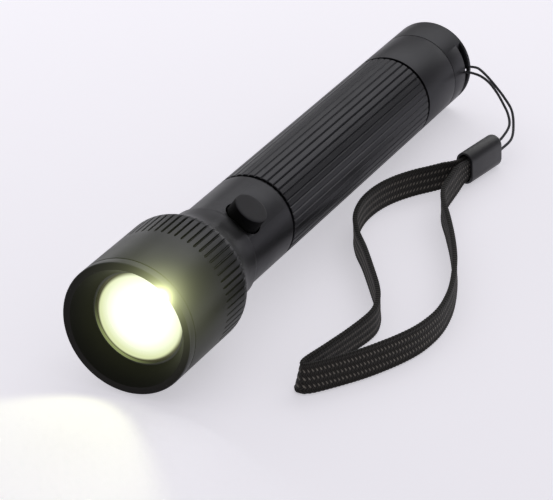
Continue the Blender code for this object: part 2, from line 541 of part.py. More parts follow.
def push_switch(parent, facing, press):
    """The carrier is turned about the torch, the rest stands in the frame that faces the button's way."""
    radius = SPIGOT_BORE_RADIUS - SEAT_GAP
    outline = rod(CARRIER_FRONT_Y, CARRIER_BACK_Y, radius)
    carrier = turned("switch_carrier", outline, BODY_SIDES, parent, "switch_plastic")
    floor = SWITCH_TOP - SWITCH_HEIGHT - SEAT_GAP
    well_floor = SWITCH_TOP + SEAT_GAP
    half = SWITCH_WIDTH / 2 + SEAT_GAP
    well = rod(well_floor, 2 * BODY_RADIUS, BUTTON_FLANGE_RADIUS + SEAT_GAP)
    bm = bmesh.new()
    add_box(bm, (-half, -half, floor), (half, half, well_floor + SEAT_GAP))
    cut(carrier, "switch_pocket_cutter", bm, facing)
    bm = bmesh.new()
    spin_profile(bm, well, SMALL_SIDES, (0, 0, 1))
    cut(carrier, "button_well_cutter", bm, facing)

    half = SWITCH_WIDTH / 2
    bm = bmesh.new()
    add_box(bm, (-half, -half, SWITCH_TOP - SWITCH_HEIGHT), (half, half, SWITCH_TOP))
    body = add_object("switch_body", finish_mesh(bm, "switch_body"), facing, "switch_plastic")
    plunger_top = BUTTON_FLANGE_TOP - BUTTON_FLANGE_THICKNESS - SEAT_GAP
    plunger_foot = plunger_top - PLUNGER_LENGTH
    bore_floor = plunger_foot - BUTTON_TRAVEL - SEAT_GAP
    bore_radius = PLUNGER_RADIUS + SEAT_GAP
    bm = bmesh.new()
    spin_profile(bm, rod(bore_floor, BODY_RADIUS, bore_radius), SMALL_SIDES, (0, 0, 1))
    cut(body, "plunger_bore_cutter", bm)

    plunger = rod(plunger_foot, plunger_top, PLUNGER_RADIUS)
    turned("switch_plunger", plunger, SMALL_SIDES, press, "plunger_plastic", (0, 0, 1))

    flange_foot = BUTTON_FLANGE_TOP - BUTTON_FLANGE_THICKNESS
    button = [
        (flange_foot, 0), (flange_foot, BUTTON_FLANGE_RADIUS), (BUTTON_FLANGE_TOP, BUTTON_FLANGE_RADIUS),
        (BUTTON_FLANGE_TOP, BUTTON_RADIUS), (BUTTON_TOP - BUTTON_EDGE, BUTTON_RADIUS),
        (BUTTON_TOP, BUTTON_RADIUS - BUTTON_EDGE), (BUTTON_TOP, 0),
    ]
    turned("button_cap", button, SMALL_SIDES, press, "button_rubber", (0, 0, 1))

    contact = rod(CONTACT_Y, CONTACT_Y + CONTACT_THICKNESS, CONTACT_RADIUS)
    turned("front_contact", contact, SMALL_SIDES, parent, "contact_brass")


def battery_tube(parent):
    relief = BODY_RADIUS - RELIEF_DEPTH
    socket_front_end = SPIGOT_END_Y + SEAT_GAP
    socket_rear_start = SKIRT_FRONT_Y - SEAT_GAP
    relief_end = GRIP_END_Y + REAR_RELIEF_WIDTH
    profile = [
        (TUBE_FRONT_Y, SOCKET_RADIUS), (TUBE_FRONT_Y, relief), (GRIP_FRONT_Y, relief),
        (GRIP_FRONT_Y, BODY_RADIUS), (GRIP_END_Y, BODY_RADIUS), (GRIP_END_Y, relief),
        (relief_end, relief), (relief_end, BODY_RADIUS), (TUBE_END_Y, BODY_RADIUS),
        (TUBE_END_Y, SOCKET_RADIUS), (socket_rear_start, SOCKET_RADIUS),
        (socket_rear_start, TUBE_BORE_RADIUS), (socket_front_end, TUBE_BORE_RADIUS),
        (socket_front_end, SOCKET_RADIUS),
    ]
    tube = turned("battery_tube", profile, BODY_SIDES, parent, "anodised_black")
    floor = BODY_RADIUS - FLUTE_DEPTH
    above = BODY_RADIUS + FLUTE_DEPTH
    flute_front = GRIP_FRONT_Y - FRONT_RELIEF_WIDTH / 2
    flute_back = GRIP_END_Y + REAR_RELIEF_WIDTH / 2
    flute = [(flute_front, above), (flute_front, floor), (flute_back, floor), (flute_back, above)]
    bm = bmesh.new()
    for k in range(FLUTE_COUNT):
        prism(bm, flute, FLUTE_WIDTH / 2, tau * (k + 0.5) / FLUTE_COUNT)
    cut(tube, "flute_cutter", bm)
    return tube


def cell_liner(parent):
    outer = TUBE_BORE_RADIUS - SEAT_GAP / 2
    inner = outer - LINER_WALL
    front = SPIGOT_END_Y + 2 * SEAT_GAP
    back = SKIRT_FRONT_Y - 2 * SEAT_GAP
    profile = [(front, inner), (front, outer), (back, outer), (back, inner)]
    return turned("cell_liner", profile, INNER_SIDES, parent, "liner_plastic")


def cells(parent):
    length = CELL_PITCH - SEAT_GAP
    shoulder = CELL_NUB_HEIGHT
    profile = [
        (0, 0), (0, CELL_NUB_RADIUS), (shoulder, CELL_NUB_RADIUS), (shoulder, CELL_RADIUS - CELL_EDGE),
        (shoulder + CELL_EDGE, CELL_RADIUS), (length - CELL_EDGE, CELL_RADIUS),
        (length, CELL_RADIUS - CELL_EDGE), (length, 0),
    ]
    for k in range(CELL_COUNT):
        cell = turned(f"cell_{k + 1}", profile, INNER_SIDES, parent, "cell_jacket")
        cell.location = (0, CELLS_Y + k * CELL_PITCH, 0)


def tail_cap(parent):
    groove_front = SEAL_Y - SEAL_GROOVE_WIDTH / 2
    groove_back = SEAL_Y + SEAL_GROOVE_WIDTH / 2
    groove = SPIGOT_RADIUS - SEAL_GROOVE_DEPTH
    profile = [
        (SKIRT_FRONT_Y, SPIGOT_BORE_RADIUS), (SKIRT_FRONT_Y, SPIGOT_RADIUS), (groove_front, SPIGOT_RADIUS),
        (groove_front, groove), (groove_back, groove), (groove_back, SPIGOT_RADIUS),
        (TAIL_FRONT_Y, SPIGOT_RADIUS), (TAIL_FRONT_Y, BODY_RADIUS),
        (TAIL_END_Y - TAIL_CHAMFER, BODY_RADIUS), (TAIL_END_Y, BODY_RADIUS - TAIL_CHAMFER), (TAIL_END_Y, 0),
        (TAIL_CAVITY_END_Y, 0), (TAIL_CAVITY_END_Y, SPIGOT_BORE_RADIUS),
    ]
    cap = turned("tail_cap", profile, BODY_SIDES, parent, "anodised_black")
    wide = 2 * BODY_RADIUS
    bm = bmesh.new()
    add_box(bm, (LANYARD_SLOT_FLOOR, LANYARD_SLOT_Y, -wide), (wide, LANYARD_SLOT_END_Y, wide))
    cut(cap, "lanyard_slot_cutter", bm)
    bm = bmesh.new()
    middle = LANYARD_SLOT_END_Y + LANYARD_BAR
    bmesh.ops.create_cone(
        bm, cap_ends=True, segments=HOLE_SIDES, radius1=LANYARD_HOLE_RADIUS, radius2=LANYARD_HOLE_RADIUS,
        depth=4 * LANYARD_BAR,
        matrix=Matrix.Translation((LANYARD_HOLE_OFFSET, middle, 0)) @ Matrix.Rotation(pi / 2, 4, "X"))
    cut(cap, "lanyard_hole_cutter", bm)
    return cap


def tail_fittings(parent, carrier):
    """The seal turns with the cap, the spring and its disc stay with the part that only slides."""
    middle = SPIGOT_RADIUS - SEAL_GROOVE_DEPTH + SEAL_CORD_RADIUS + SEAT_GAP / 2
    seal = ring_outline(SEAL_Y, middle, SEAL_CORD_RADIUS)
    turned("tail_o_ring", seal, INNER_SIDES, parent, "seal_rubber")
    disc = rod(DISC_Y, DISC_Y + DISC_THICKNESS, DISC_RADIUS)
    turned("tail_contact_disc", disc, SMALL_SIDES, carrier, "contact_brass")

    start = CELLS_END_Y + SEAT_GAP + SPRING_WIRE_RADIUS
    end = DISC_Y - SEAT_GAP - SPRING_WIRE_RADIUS
    count = SPRING_TURNS * SPRING_STEPS_PER_TURN
    curve = bpy.data.curves.new("tail_spring", "CURVE")
    curve.dimensions = "3D"
    curve.bevel_depth = SPRING_WIRE_RADIUS
    curve.bevel_resolution = 1
    curve.use_fill_caps = True
    line = curve.splines.new("POLY")
    line.points.add(count)
    for k in range(count + 1):
        share = k / count
        radius = SPRING_SMALL_RADIUS + (SPRING_LARGE_RADIUS - SPRING_SMALL_RADIUS) * share
        angle = tau * k / SPRING_STEPS_PER_TURN
        line.points[k].co = (radius * cos(angle), start + (end - start) * share, radius * sin(angle), 1)
    add_object("tail_spring", curve, carrier, "spring_steel")


def smooth_route(points, steps):
    """Points on a Catmull-Rom curve through the route, in metres."""
    route = [Vector(point) * MM for point in points]
    padded = [2 * route[0] - route[1]] + route + [2 * route[-1] - route[-2]]
    found = []
    for before, here, there, after in zip(padded, padded[1:], padded[2:], padded[3:]):
        for k in range(steps):
            t = k / steps
            found.append(0.5 * (2 * here + (there - before) * t
                                + (2 * before - 5 * here + 4 * there - after) * t ** 2
                                + (3 * here - before - 3 * there + after) * t ** 3))
    return found + [route[-1]]


def lanyard_cord():
    curve = bpy.data.curves.new("lanyard_cord", "CURVE")
    curve.dimensions = "3D"
    curve.bevel_depth = CORD_RADIUS
    curve.bevel_resolution = 2
    curve.use_fill_caps = True
    points = smooth_route(CORD_ROUTE_MM, CORD_STEPS)
    line = curve.splines.new("POLY")
    line.points.add(len(points) - 1)
    for slot, point in zip(line.points, points):
        slot.co = (*point, 1)
    add_object("lanyard_cord", curve, None, "cord_nylon")


def oval(bm, thickness, height, place):
    """A closed loop of corners with two straight sides and two round ends, across the frame's +Y."""
    radius = thickness / 2
    rise = height / 2 - radius
    corners = []
    for lift, start in ((rise, 0), (-rise, pi)):
        for k in range(END_ARC_STEPS + 1):
            angle = start + pi * k / END_ARC_STEPS
            corners.append(bm.verts.new((radius * cos(angle), place, lift + radius * sin(angle))))
    return corners


def skin_loops(bm, loops):
    for first, second in zip(loops, loops[1:]):
        for k in range(len(first)):
            after = (k + 1) % len(first)
            bm.faces.new((first[k], first[after], second[after], second[k]))


def ferrule():
    """Open toward the strap at its frame's origin, with a rounded closed end where the cord goes in."""
    frame_empty = empty("ferrule_frame", None, (*FERRULE_MOUTH, FERRULE_HEIGHT / 2),
                        (0, 0, FERRULE_HEADING - pi / 2))
    bm = bmesh.new()
    outer = [oval(bm, FERRULE_THICKNESS, FERRULE_HEIGHT, 0),
             oval(bm, FERRULE_THICKNESS, FERRULE_HEIGHT, FERRULE_LENGTH - FERRULE_ROUNDING)]
    for share, inset in FERRULE_ROUNDING_SHARES:
        shrink = 2 * FERRULE_ROUNDING * inset
        outer.append(oval(bm, FERRULE_THICKNESS - shrink, FERRULE_HEIGHT - shrink,
                          FERRULE_LENGTH - FERRULE_ROUNDING * (1 - share)))
    bore_thickness = FERRULE_THICKNESS - 2 * FERRULE_SIDE_WALL
    bore_height = FERRULE_HEIGHT - 2 * FERRULE_EDGE_WALL
    inner = [oval(bm, bore_thickness, bore_height, place)
             for place in (0, FERRULE_LENGTH - FERRULE_END_WALL)]
    skin_loops(bm, list(reversed(inner)) + outer)
    bm.faces.new(inner[-1])
    bm.faces.new(list(reversed(outer[-1])))
    add_object("ferrule", finish_mesh(bm, "ferrule"), frame_empty, "ferrule_plastic")


def wrist_strap():
    """Webbing on its edge, an upright oblong section swept along its route and gathered in the ferrule."""
    centres = smooth_route(STRAP_ROUTE_MM, STRAP_STEPS)
    bm = bmesh.new()
    loops = []
    for k, centre in enumerate(centres):
        from_end = min((centre - centres[0]).length, (centre - centres[-1]).length)
        opened = min(1, max(0, (from_end - STRAP_INSERT) / STRAP_GATHER))
        width = STRAP_END_WIDTH + (STRAP_WIDTH - STRAP_END_WIDTH) * opened
        ahead = centres[min(k + 1, len(centres) - 1)] - centres[max(k - 1, 0)]
        side = Vector((ahead.y, -ahead.x, 0)).normalized() * STRAP_THICKNESS / 2
        rise = Vector((0, 0, width / 2))
        middle = Vector((centre.x, centre.y, max(centre.z, width / 2 + STRAP_LIFT)))
        loops.append([bm.verts.new(middle + turn_side * side + turn_rise * rise)
                      for turn_side, turn_rise in ((1, 1), (1, -1), (-1, -1), (-1, 1))])
    skin_loops(bm, loops)
    bm.faces.new(loops[0])
    bm.faces.new(list(reversed(loops[-1])))
    add_object("wrist_strap", finish_mesh(bm, "wrist_strap"), None, "strap_webbing")


def build():
    clear_scene()
    torch = empty("torch_frame", None, (0, LIE_START, LIE_HEIGHT), (-LIE_TILT, 0, 0))
    head = empty("head_frame", torch)
    facing = empty("switch_frame", torch, (0, BUTTON_Y, 0), (0, BUTTON_ANGLE, 0))
    press = empty("button_frame", facing)
    tail = empty("tail_frame", torch)
    tail_slide = empty("tail_slide_frame", torch)
    bezel_ring(head)
    lens(head)
    lens_gasket(head)
    head_barrel(head)
    switch_housing(torch)
    neck_ring(torch)
    light_engine(torch)
    push_switch(torch, facing, press)
    battery_tube(torch)
    cell_liner(torch)
    cells(torch)
    tail_cap(tail)
    tail_fittings(tail, tail_slide)
    lanyard_cord()
    ferrule()
    wrist_strap()


build()
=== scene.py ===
"""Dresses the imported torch: black anodised aluminium, a lit lens in a sliding head, a cord and a wrist strap."""
import json
from math import asin, atan2, cos, hypot, pi, radians, sin, tan, tau

import bmesh
import bpy
from mathutils import Matrix, Vector


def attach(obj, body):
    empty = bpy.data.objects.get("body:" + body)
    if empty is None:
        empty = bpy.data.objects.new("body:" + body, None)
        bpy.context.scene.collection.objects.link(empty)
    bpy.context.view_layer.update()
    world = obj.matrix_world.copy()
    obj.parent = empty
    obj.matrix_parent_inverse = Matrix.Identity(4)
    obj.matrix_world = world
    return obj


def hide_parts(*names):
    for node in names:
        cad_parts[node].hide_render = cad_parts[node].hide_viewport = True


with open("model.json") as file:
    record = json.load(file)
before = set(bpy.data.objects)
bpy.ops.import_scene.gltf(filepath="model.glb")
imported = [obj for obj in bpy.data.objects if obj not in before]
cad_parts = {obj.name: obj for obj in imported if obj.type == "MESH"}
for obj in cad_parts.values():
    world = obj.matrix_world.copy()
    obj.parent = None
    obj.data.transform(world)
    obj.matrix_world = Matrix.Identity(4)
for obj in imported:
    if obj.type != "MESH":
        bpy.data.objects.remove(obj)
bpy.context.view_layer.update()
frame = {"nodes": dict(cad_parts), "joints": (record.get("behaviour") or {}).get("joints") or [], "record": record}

MM = 0.001

# The torch's own frame: +Z runs from its front face to its tail, X is the world's X, Y points down
TORCH_LENGTH = 238.4
tail_face = next(mount for mount in frame["record"]["mounts"] if mount["name"] == "tail_face")
ALONG = Vector(tail_face["axis"]).normalized()
FRONT = Vector(tail_face["pos_m"]) - ALONG * TORCH_LENGTH * MM
TORCH = Matrix.Translation(FRONT) @ Matrix.Rotation(-pi / 2 + asin(ALONG.z), 4, "X")

# The button's frame: +Z is the way that the button faces
BUTTON_PLACE = 65.0
button_joint = next(joint for joint in frame["joints"] if joint["name"] == "button_press")
FACING = -Vector(button_joint["axis"]).normalized()
BUTTON = Matrix.Translation(FRONT + ALONG * BUTTON_PLACE * MM) @ FACING.to_track_quat("Z", "Y").to_matrix().to_4x4()

# The ferrule's frame: +Z runs from its mouth to its closed end, Y points up
FERRULE_HEIGHT = 12.0
FERRULE_HEADING = radians(78.9)
FERRULE = (Matrix.Translation((38.5 * MM, 59.9 * MM, FERRULE_HEIGHT / 2 * MM))
           @ Matrix.Rotation(FERRULE_HEADING + pi / 2, 4, "Z") @ Matrix.Rotation(pi / 2, 4, "X"))

# Sizes of the metal parts, in millimetres. Floors are radii, from the middle column of a slot or flute outward
HEAD_RADIUS = 22.72
HAIRLINE = 3.2
HAIRLINE_WIDTH = 0.46
HEAD_SIDES = 960
SLOT_COUNT = 60
SLOT_PHASE = radians(3.0)
SLOT_FLOORS = (21.95, 22.0, 22.36)
BODY_RADIUS = 16.0
TUBE_SIDES = 504
FLUTE_COUNT = 42
FLUTE_PHASE = pi / FLUTE_COUNT
FLUTE_FLOORS = (15.58, 15.7)
ROUND_SIDES = 168
RIM_SIDES = 240
FILLET_STEPS = 4
# A radius past every corner, for columns that aren't sunk
NOT_SUNK = 99

# The routes of the cord and the strap, in millimetres on the ground, as in the part's source
STRAP_ROUTE = (
    (38.4, 65.0, 6.0), (37.5, 60.1, 6.0), (35.4, 55.2, 5.8), (31.2, 50.4, 5.4), (25.3, 43.8, 5.1),
    (20.9, 35.7, 5.1), (18.6, 27.0, 5.1), (18.4, 17.0, 5.1), (20.9, 6.2, 5.1), (26.2, -4.1, 5.1),
    (33.6, -14.3, 5.1), (42.0, -26.9, 5.1), (49.3, -38.4, 5.1), (53.3, -47.0, 5.1), (54.8, -55.3, 5.1),
    (53.1, -67.3, 5.1), (50.0, -80.5, 5.1), (47.5, -91.5, 5.1), (48.7, -95.9, 5.1), (51.6, -95.0, 5.1),
    (56.6, -89.1, 5.1), (62.0, -81.7, 5.1), (66.1, -74.8, 5.1), (70.3, -66.3, 5.1), (73.2, -57.5, 5.1),
    (74.4, -47.0, 5.1), (73.4, -36.7, 5.1), (70.6, -25.5, 5.1), (65.2, -11.0, 5.1), (58.3, 3.3, 5.1),
    (50.6, 17.2, 5.1), (44.0, 28.4, 5.1), (40.6, 37.0, 5.2), (39.5, 46.8, 5.5), (39.1, 54.5, 5.8),
    (39.6, 59.7, 6.0), (40.5, 64.6, 6.0),
)
CORD_ROUTE = (
    (41.15, 79.7, 6.7), (41.4, 81.2, 6.7), (42.0, 86.6, 7.2), (41.5, 94.0, 8.3), (38.9, 99.3, 10.0),
    (35.6, 102.9, 12.0), (31.6, 106.6, 14.2), (27.0, 110.6, 15.7), (22.4, 113.8, 16.2), (18.2, 115.6, 16.1),
    (14.6, 115.9, 16.0), (13.5, 117.4, 16.0), (13.5, 119.3, 16.0), (14.4, 120.6, 16.0), (17.3, 120.7, 16.1),
    (19.9, 118.6, 16.5), (24.7, 114.2, 16.3), (30.0, 110.0, 14.7), (34.2, 107.1, 12.6), (38.4, 103.9, 9.6),
    (41.8, 97.3, 7.0), (44.4, 88.9, 5.8), (43.9, 81.2, 5.3), (43.6, 79.3, 5.3),
)
STRAP_WIDTH = 10.0
STRAP_THICKNESS = 1.6
STRAP_END_WIDTH = 7.4
STRAP_INSERT = 5.2
STRAP_GATHER = 8.0
# The lean of the strap from upright, in degrees, at shares of its length from the left leg of the ferrule
STRAP_LEANS = ((0.0, 0), (0.36, 0), (0.48, -13), (0.56, -13), (0.68, 0), (1.0, 0))
# The webbing's rounded edges begin at this share of its half width, and its yarns stand on a thinner core
STRAP_EDGE = 0.93
YARN_DEPTH = 0.2
# It is knitted in columns, with a stitch to every two yarns, between corded edges that begin at CORDED
COLUMN_PITCH = 2.5
STITCH_PITCH = 1.4
YARN_PITCH = 0.7
CORDED = 4.1
CORD_RADIUS = 0.5
BRAID_DEPTH = 0.035
# Millimetres to a unit of the UV map that the yarns follow
YARN_UNIT = 10

# The photo's camera, fitted to the torch's silhouettes and rings
CAMERA_PLACE = (0.45351, -0.90812, 0.51943)
CAMERA_TURN = (radians(62.661), radians(1.844), radians(25.92))
FOCAL_PIXELS = 3312.3
PHOTO_WIDTH = 553
SENSOR_WIDTH = 36


def nothing_selected():
    if bpy.context.object and bpy.context.object.mode != "OBJECT":
        bpy.ops.object.mode_set(mode="OBJECT")
    bpy.ops.object.select_all(action="DESELECT")


def on_the_bench(piece):
    nothing_selected()
    piece.select_set(True)
    bpy.context.view_layer.objects.active = piece


def rounded(corners):
    """An outline of (place, radius) from corners of (place, radius) or, with a fillet, (place, radius, fillet)."""
    outline = []
    for before, here, after in zip(corners[-1:] + corners[:-1], corners, corners[1:] + corners[:1]):
        corner = Vector(here[:2])
        if len(here) == 2:
            outline.append(tuple(corner))
            continue
        back = (Vector(before[:2]) - corner).normalized()
        ahead = (Vector(after[:2]) - corner).normalized()
        half = back.angle(ahead) / 2
        turn = pi - 2 * half
        centre = corner + (back + ahead).normalized() * here[2] / sin(half)
        start = corner + back * here[2] / tan(half) - centre
        end = corner + ahead * here[2] / tan(half) - centre
        for k in range(FILLET_STEPS + 1):
            share = k / FILLET_STEPS
            outline.append(tuple(centre + (start * sin((1 - share) * turn) + end * sin(share * turn)) / sin(turn)))
    return outline


def draw_outline(name, outline):
    """One corner is drawn out along the outline, beside the lathe's axis."""
    nothing_selected()
    bpy.ops.mesh.primitive_circle_add(vertices=3, radius=MM, enter_editmode=True)
    piece = bpy.context.object
    piece.name = name
    piece.data.name = name
    bpy.ops.mesh.merge(type="CENTER")
    bpy.ops.transform.translate(value=(outline[0][1] * MM, 0, outline[0][0] * MM))
    for (place, radius), (next_place, next_radius) in zip(outline, outline[1:]):
        step = ((next_radius - radius) * MM, 0, (next_place - place) * MM)
        bpy.ops.mesh.extrude_vertices_move(TRANSFORM_OT_translate={"value": step})
    if outline[0][1] > 0:
        select_corners(piece, lambda corner: corner.index in (0, len(outline) - 1))
        bpy.ops.mesh.edge_face_add()
    return piece


def select_corners(piece, wanted):
    bpy.ops.mesh.select_all(action="DESELECT")
    grid = bmesh.from_edit_mesh(piece.data)
    for corner in grid.verts:
        corner.select = wanted(corner)
    grid.select_flush_mode()
    bmesh.update_edit_mesh(piece.data)


def turned(name, outline, sides, repeats=1, sunk=None):
    """Spins an outline about the lathe's axis. With repeats, one pitch is spun, its columns are sunk to
    the radius that sunk gives for a place and a column, and the pitch is copied round the axis."""
    piece = draw_outline(name, outline)
    pitch = tau / repeats
    columns = sides // repeats
    bpy.ops.mesh.select_all(action="SELECT")
    bpy.ops.mesh.spin(steps=columns, angle=pitch, center=(0, 0, 0), axis=(0, 0, 1))
    if repeats > 1:
        sink_columns(piece, pitch, columns, sunk)
        bpy.ops.mesh.select_all(action="SELECT")
        bpy.ops.mesh.spin(steps=repeats - 1, dupli=True, angle=tau - pitch, center=(0, 0, 0), axis=(0, 0, 1))
    bpy.ops.mesh.select_all(action="SELECT")
    bpy.ops.mesh.remove_doubles(threshold=2e-6)
    bpy.ops.mesh.normals_make_consistent(inside=False)
    bpy.ops.object.mode_set(mode="OBJECT")
    return piece


def sink_columns(piece, pitch, columns, sunk):
    """Moves corners in to the radius that sunk gives. Columns are counted from the middle of the pitch."""
    groups = {}
    for corner in bmesh.from_edit_mesh(piece.data).verts:
        radius = hypot(corner.co.x, corner.co.y) / MM
        column = abs(round((abs(atan2(corner.co.y, corner.co.x)) / pitch - 0.5) * columns))
        floor = sunk(corner.co.z / MM, column)
        if floor < radius - 0.0001:
            groups.setdefault(round(floor / radius, 5), set()).add(corner.index)
    for ratio, members in groups.items():
        select_corners(piece, lambda corner: corner.index in members)
        bpy.ops.transform.resize(value=(ratio, ratio, 1), center_override=(0, 0, 0))


def lay_down(piece, place):
    """Moves a piece from the bench to its place, and leaves its object at the origin."""
    on_the_bench(piece)
    piece.matrix_world = place
    bpy.ops.object.transform_apply(location=True, rotation=True, scale=True)


def carve(piece, cutter):
    """Cuts the cutter's shape out of a piece, and discards the cutter."""
    on_the_bench(piece)
    bite = piece.modifiers.new("carve", "BOOLEAN")
    bite.object = cutter
    bite.solver = "EXACT"
    bpy.ops.object.modifier_apply(modifier=bite.name)
    bpy.data.objects.remove(cutter)


def ease_edges(piece, wanted, width):
    """Bevels the sharp edges whose middle is wanted."""
    on_the_bench(piece)
    bpy.ops.object.mode_set(mode="EDIT")
    bpy.ops.mesh.select_all(action="DESELECT")
    grid = bmesh.from_edit_mesh(piece.data)
    for edge in grid.edges:
        if len(edge.link_faces) == 2 and edge.calc_face_angle(0) > radians(35):
            edge.select = wanted((edge.verts[0].co + edge.verts[1].co) / 2)
    bmesh.update_edit_mesh(piece.data)
    bpy.ops.mesh.bevel(offset=width * MM, segments=2, affect="EDGES", clamp_overlap=True)
    bpy.ops.object.mode_set(mode="OBJECT")


def finish(piece, node, body, slot, *materials, angle=30):
    """Shades a piece, gives it its materials, puts it on its body and hides the node that it replaces. Its slot is not
    used.
    """
    on_the_bench(piece)
    bpy.ops.object.shade_smooth_by_angle(angle=radians(angle))
    for material in materials:
        piece.data.materials.append(material)
    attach(piece, body)
    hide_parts(node)
    return piece


def smooth_route(points, steps):
    """Points on a Catmull-Rom curve through the route, in metres."""
    route = [Vector(point) * MM for point in points]
    padded = [2 * route[0] - route[1]] + route + [2 * route[-1] - route[-2]]
    found = []
    for before, here, there, after in zip(padded, padded[1:], padded[2:], padded[3:]):
        for k in range(steps):
            t = k / steps
            found.append(0.5 * (2 * here + (there - before) * t
                                + (2 * before - 5 * here + 4 * there - after) * t ** 2
                                + (3 * here - before - 3 * there + after) * t ** 3))
    return found + [route[-1]]


def even_stations(points, spacing):
    """Points at an even spacing along a line, each with its distance from the start, in millimetres."""
    reached = [0.0]
    for here, there in zip(points, points[1:]):
        reached.append(reached[-1] + (there - here).length / MM)
    count = round(reached[-1] / spacing)
    found = []
    place = 0
    for k in range(count + 1):
        wanted = reached[-1] * k / count
        while place < len(points) - 2 and reached[place + 1] < wanted:
            place += 1
        share = (wanted - reached[place]) / (reached[place + 1] - reached[place])
        found.append((wanted, points[place].lerp(points[place + 1], share)))
    return found


def between(table, place):
    """The value of a table of (place, value) at a place, with eased steps."""
    if place <= table[0][0]:
        return table[0][1]
    for (start, first), (end, second) in zip(table, table[1:]):
        if place <= end:
            share = (place - start) / (end - start)
            return first + (second - first) * share * share * (3 - 2 * share)
    return table[-1][1]


def swept(name, loops, marks):
    """Skins closed loops of corners into a tube with capped ends. A mark is (along, across) in millimetres,
    kept as the piece's UV map."""
    body = bmesh.new()
    marking = body.loops.layers.uv.new("yarns")
    corners = [[body.verts.new(corner) for corner in loop] for loop in loops]
    around = len(corners[0])
    for row in range(len(corners) - 1):
        for k in range(around):
            after = (k + 1) % around
            face = body.faces.new((corners[row][k], corners[row][after],
                                   corners[row + 1][after], corners[row + 1][k]))
            face.smooth = True
            spots = (marks(row, k), marks(row, k + 1), marks(row + 1, k + 1), marks(row + 1, k))
            for loop, spot in zip(face.loops, spots):
                loop[marking].uv = (spot[0] / YARN_UNIT, spot[1] / YARN_UNIT)
    body.faces.new(corners[0])
    body.faces.new(list(reversed(corners[-1])))
    bmesh.ops.recalc_face_normals(body, faces=body.faces)
    data = bpy.data.meshes.new(name)
    body.to_mesh(data)
    body.free()
    piece = bpy.data.objects.new(name, data)
    bpy.context.collection.objects.link(piece)
    return piece


# Materials

def linear(code):
    """An sRGB hex colour as linear red, green and blue, with full alpha."""
    shares = [int(code[k:k + 2], 16) / 255 for k in (1, 3, 5)]
    return (*[share / 12.92 if share <= 0.04045 else ((share + 0.055) / 1.055) ** 2.4 for share in shares], 1)


def shaded(code, gain):
    """A hex colour made lighter or darker in linear light, with full alpha."""
    return (*[gain * share for share in linear(code)[:3]], 1)


def add(tree, kind, sockets={}, **settings):
    """Adds a node with its settings, and links or fills its sockets."""
    node = tree.nodes.new(kind)
    for name, value in settings.items():
        setattr(node, name, value)
    for socket, value in sockets.items():
        if isinstance(value, bpy.types.NodeSocket):
            tree.links.new(value, node.inputs[socket])
        else:
            node.inputs[socket].default_value = value
    return node


def new_material(name, **sockets):
    """A material with its shader's own constants, its tree and its shader."""
    material = bpy.data.materials.new(name)
    material.use_nodes = True
    shader = material.node_tree.nodes["Principled BSDF"]
    for socket, value in sockets.items():
        shader.inputs[socket.replace("_", " ")].default_value = value
    return material, material.node_tree, shader


def torch_place(tree):
    """Coordinates in the torch's own frame, so that a pattern follows the torch."""
    place = add(tree, "ShaderNodeTexCoord")
    own = add(tree, "ShaderNodeMapping", {"Vector": place.outputs["Object"], "Location": FRONT,
                                          "Rotation": TORCH.to_euler()}, vector_type="TEXTURE")
    return own.outputs[0]


def anodised(name, colour, roughness):
    """Black anodised aluminium: turned, bead blasted and dyed. It is a dark satin metal whose highlights are
    broad and soft, with the faint rings of the lathe and a fine even grit."""
    material, tree, shader = new_material(name, Metallic=1.0, Specular_Tint=linear("#d2d2d2"))
    own = torch_place(tree)
    # Blasting grit is about 0.1 mm across. It is drawn at 0.45 mm, so that the render can show it
    grit = add(tree, "ShaderNodeTexNoise", {"Vector": own, "Scale": 2200, "Detail": 2})
    # Cloudy change of the dye, about 12 mm across
    cloud = add(tree, "ShaderNodeTexNoise", {"Vector": own, "Scale": 80, "Detail": 3})
    # Lathe rings every 0.7 mm along the torch
    rings = add(tree, "ShaderNodeTexWave", {"Vector": own, "Scale": 450, "Distortion": 1.5,
                                            "Detail": 1}, bands_direction="Z")
    tone = add(tree, "ShaderNodeMix", {0: cloud.outputs["Fac"], 6: linear(colour), 7: shaded(colour, 1.16)},
               data_type="RGBA")
    gloss = add(tree, "ShaderNodeMapRange", {"Value": cloud.outputs["Fac"], "From Min": 0.3, "From Max": 0.7,
                                             "To Min": roughness - 0.03, "To Max": roughness + 0.04})
    low = add(tree, "ShaderNodeBump", {"Height": rings.outputs["Fac"], "Strength": 0.12, "Distance": 0.02 * MM})
    bump = add(tree, "ShaderNodeBump", {"Height": grit.outputs["Fac"], "Strength": 0.25, "Distance": 0.05 * MM,
                                        "Normal": low.outputs[0]})
    tree.links.new(tone.outputs[2], shader.inputs["Base Color"])
    tree.links.new(gloss.outputs[0], shader.inputs["Roughness"])
    tree.links.new(bump.outputs[0], shader.inputs["Normal"])
    return material


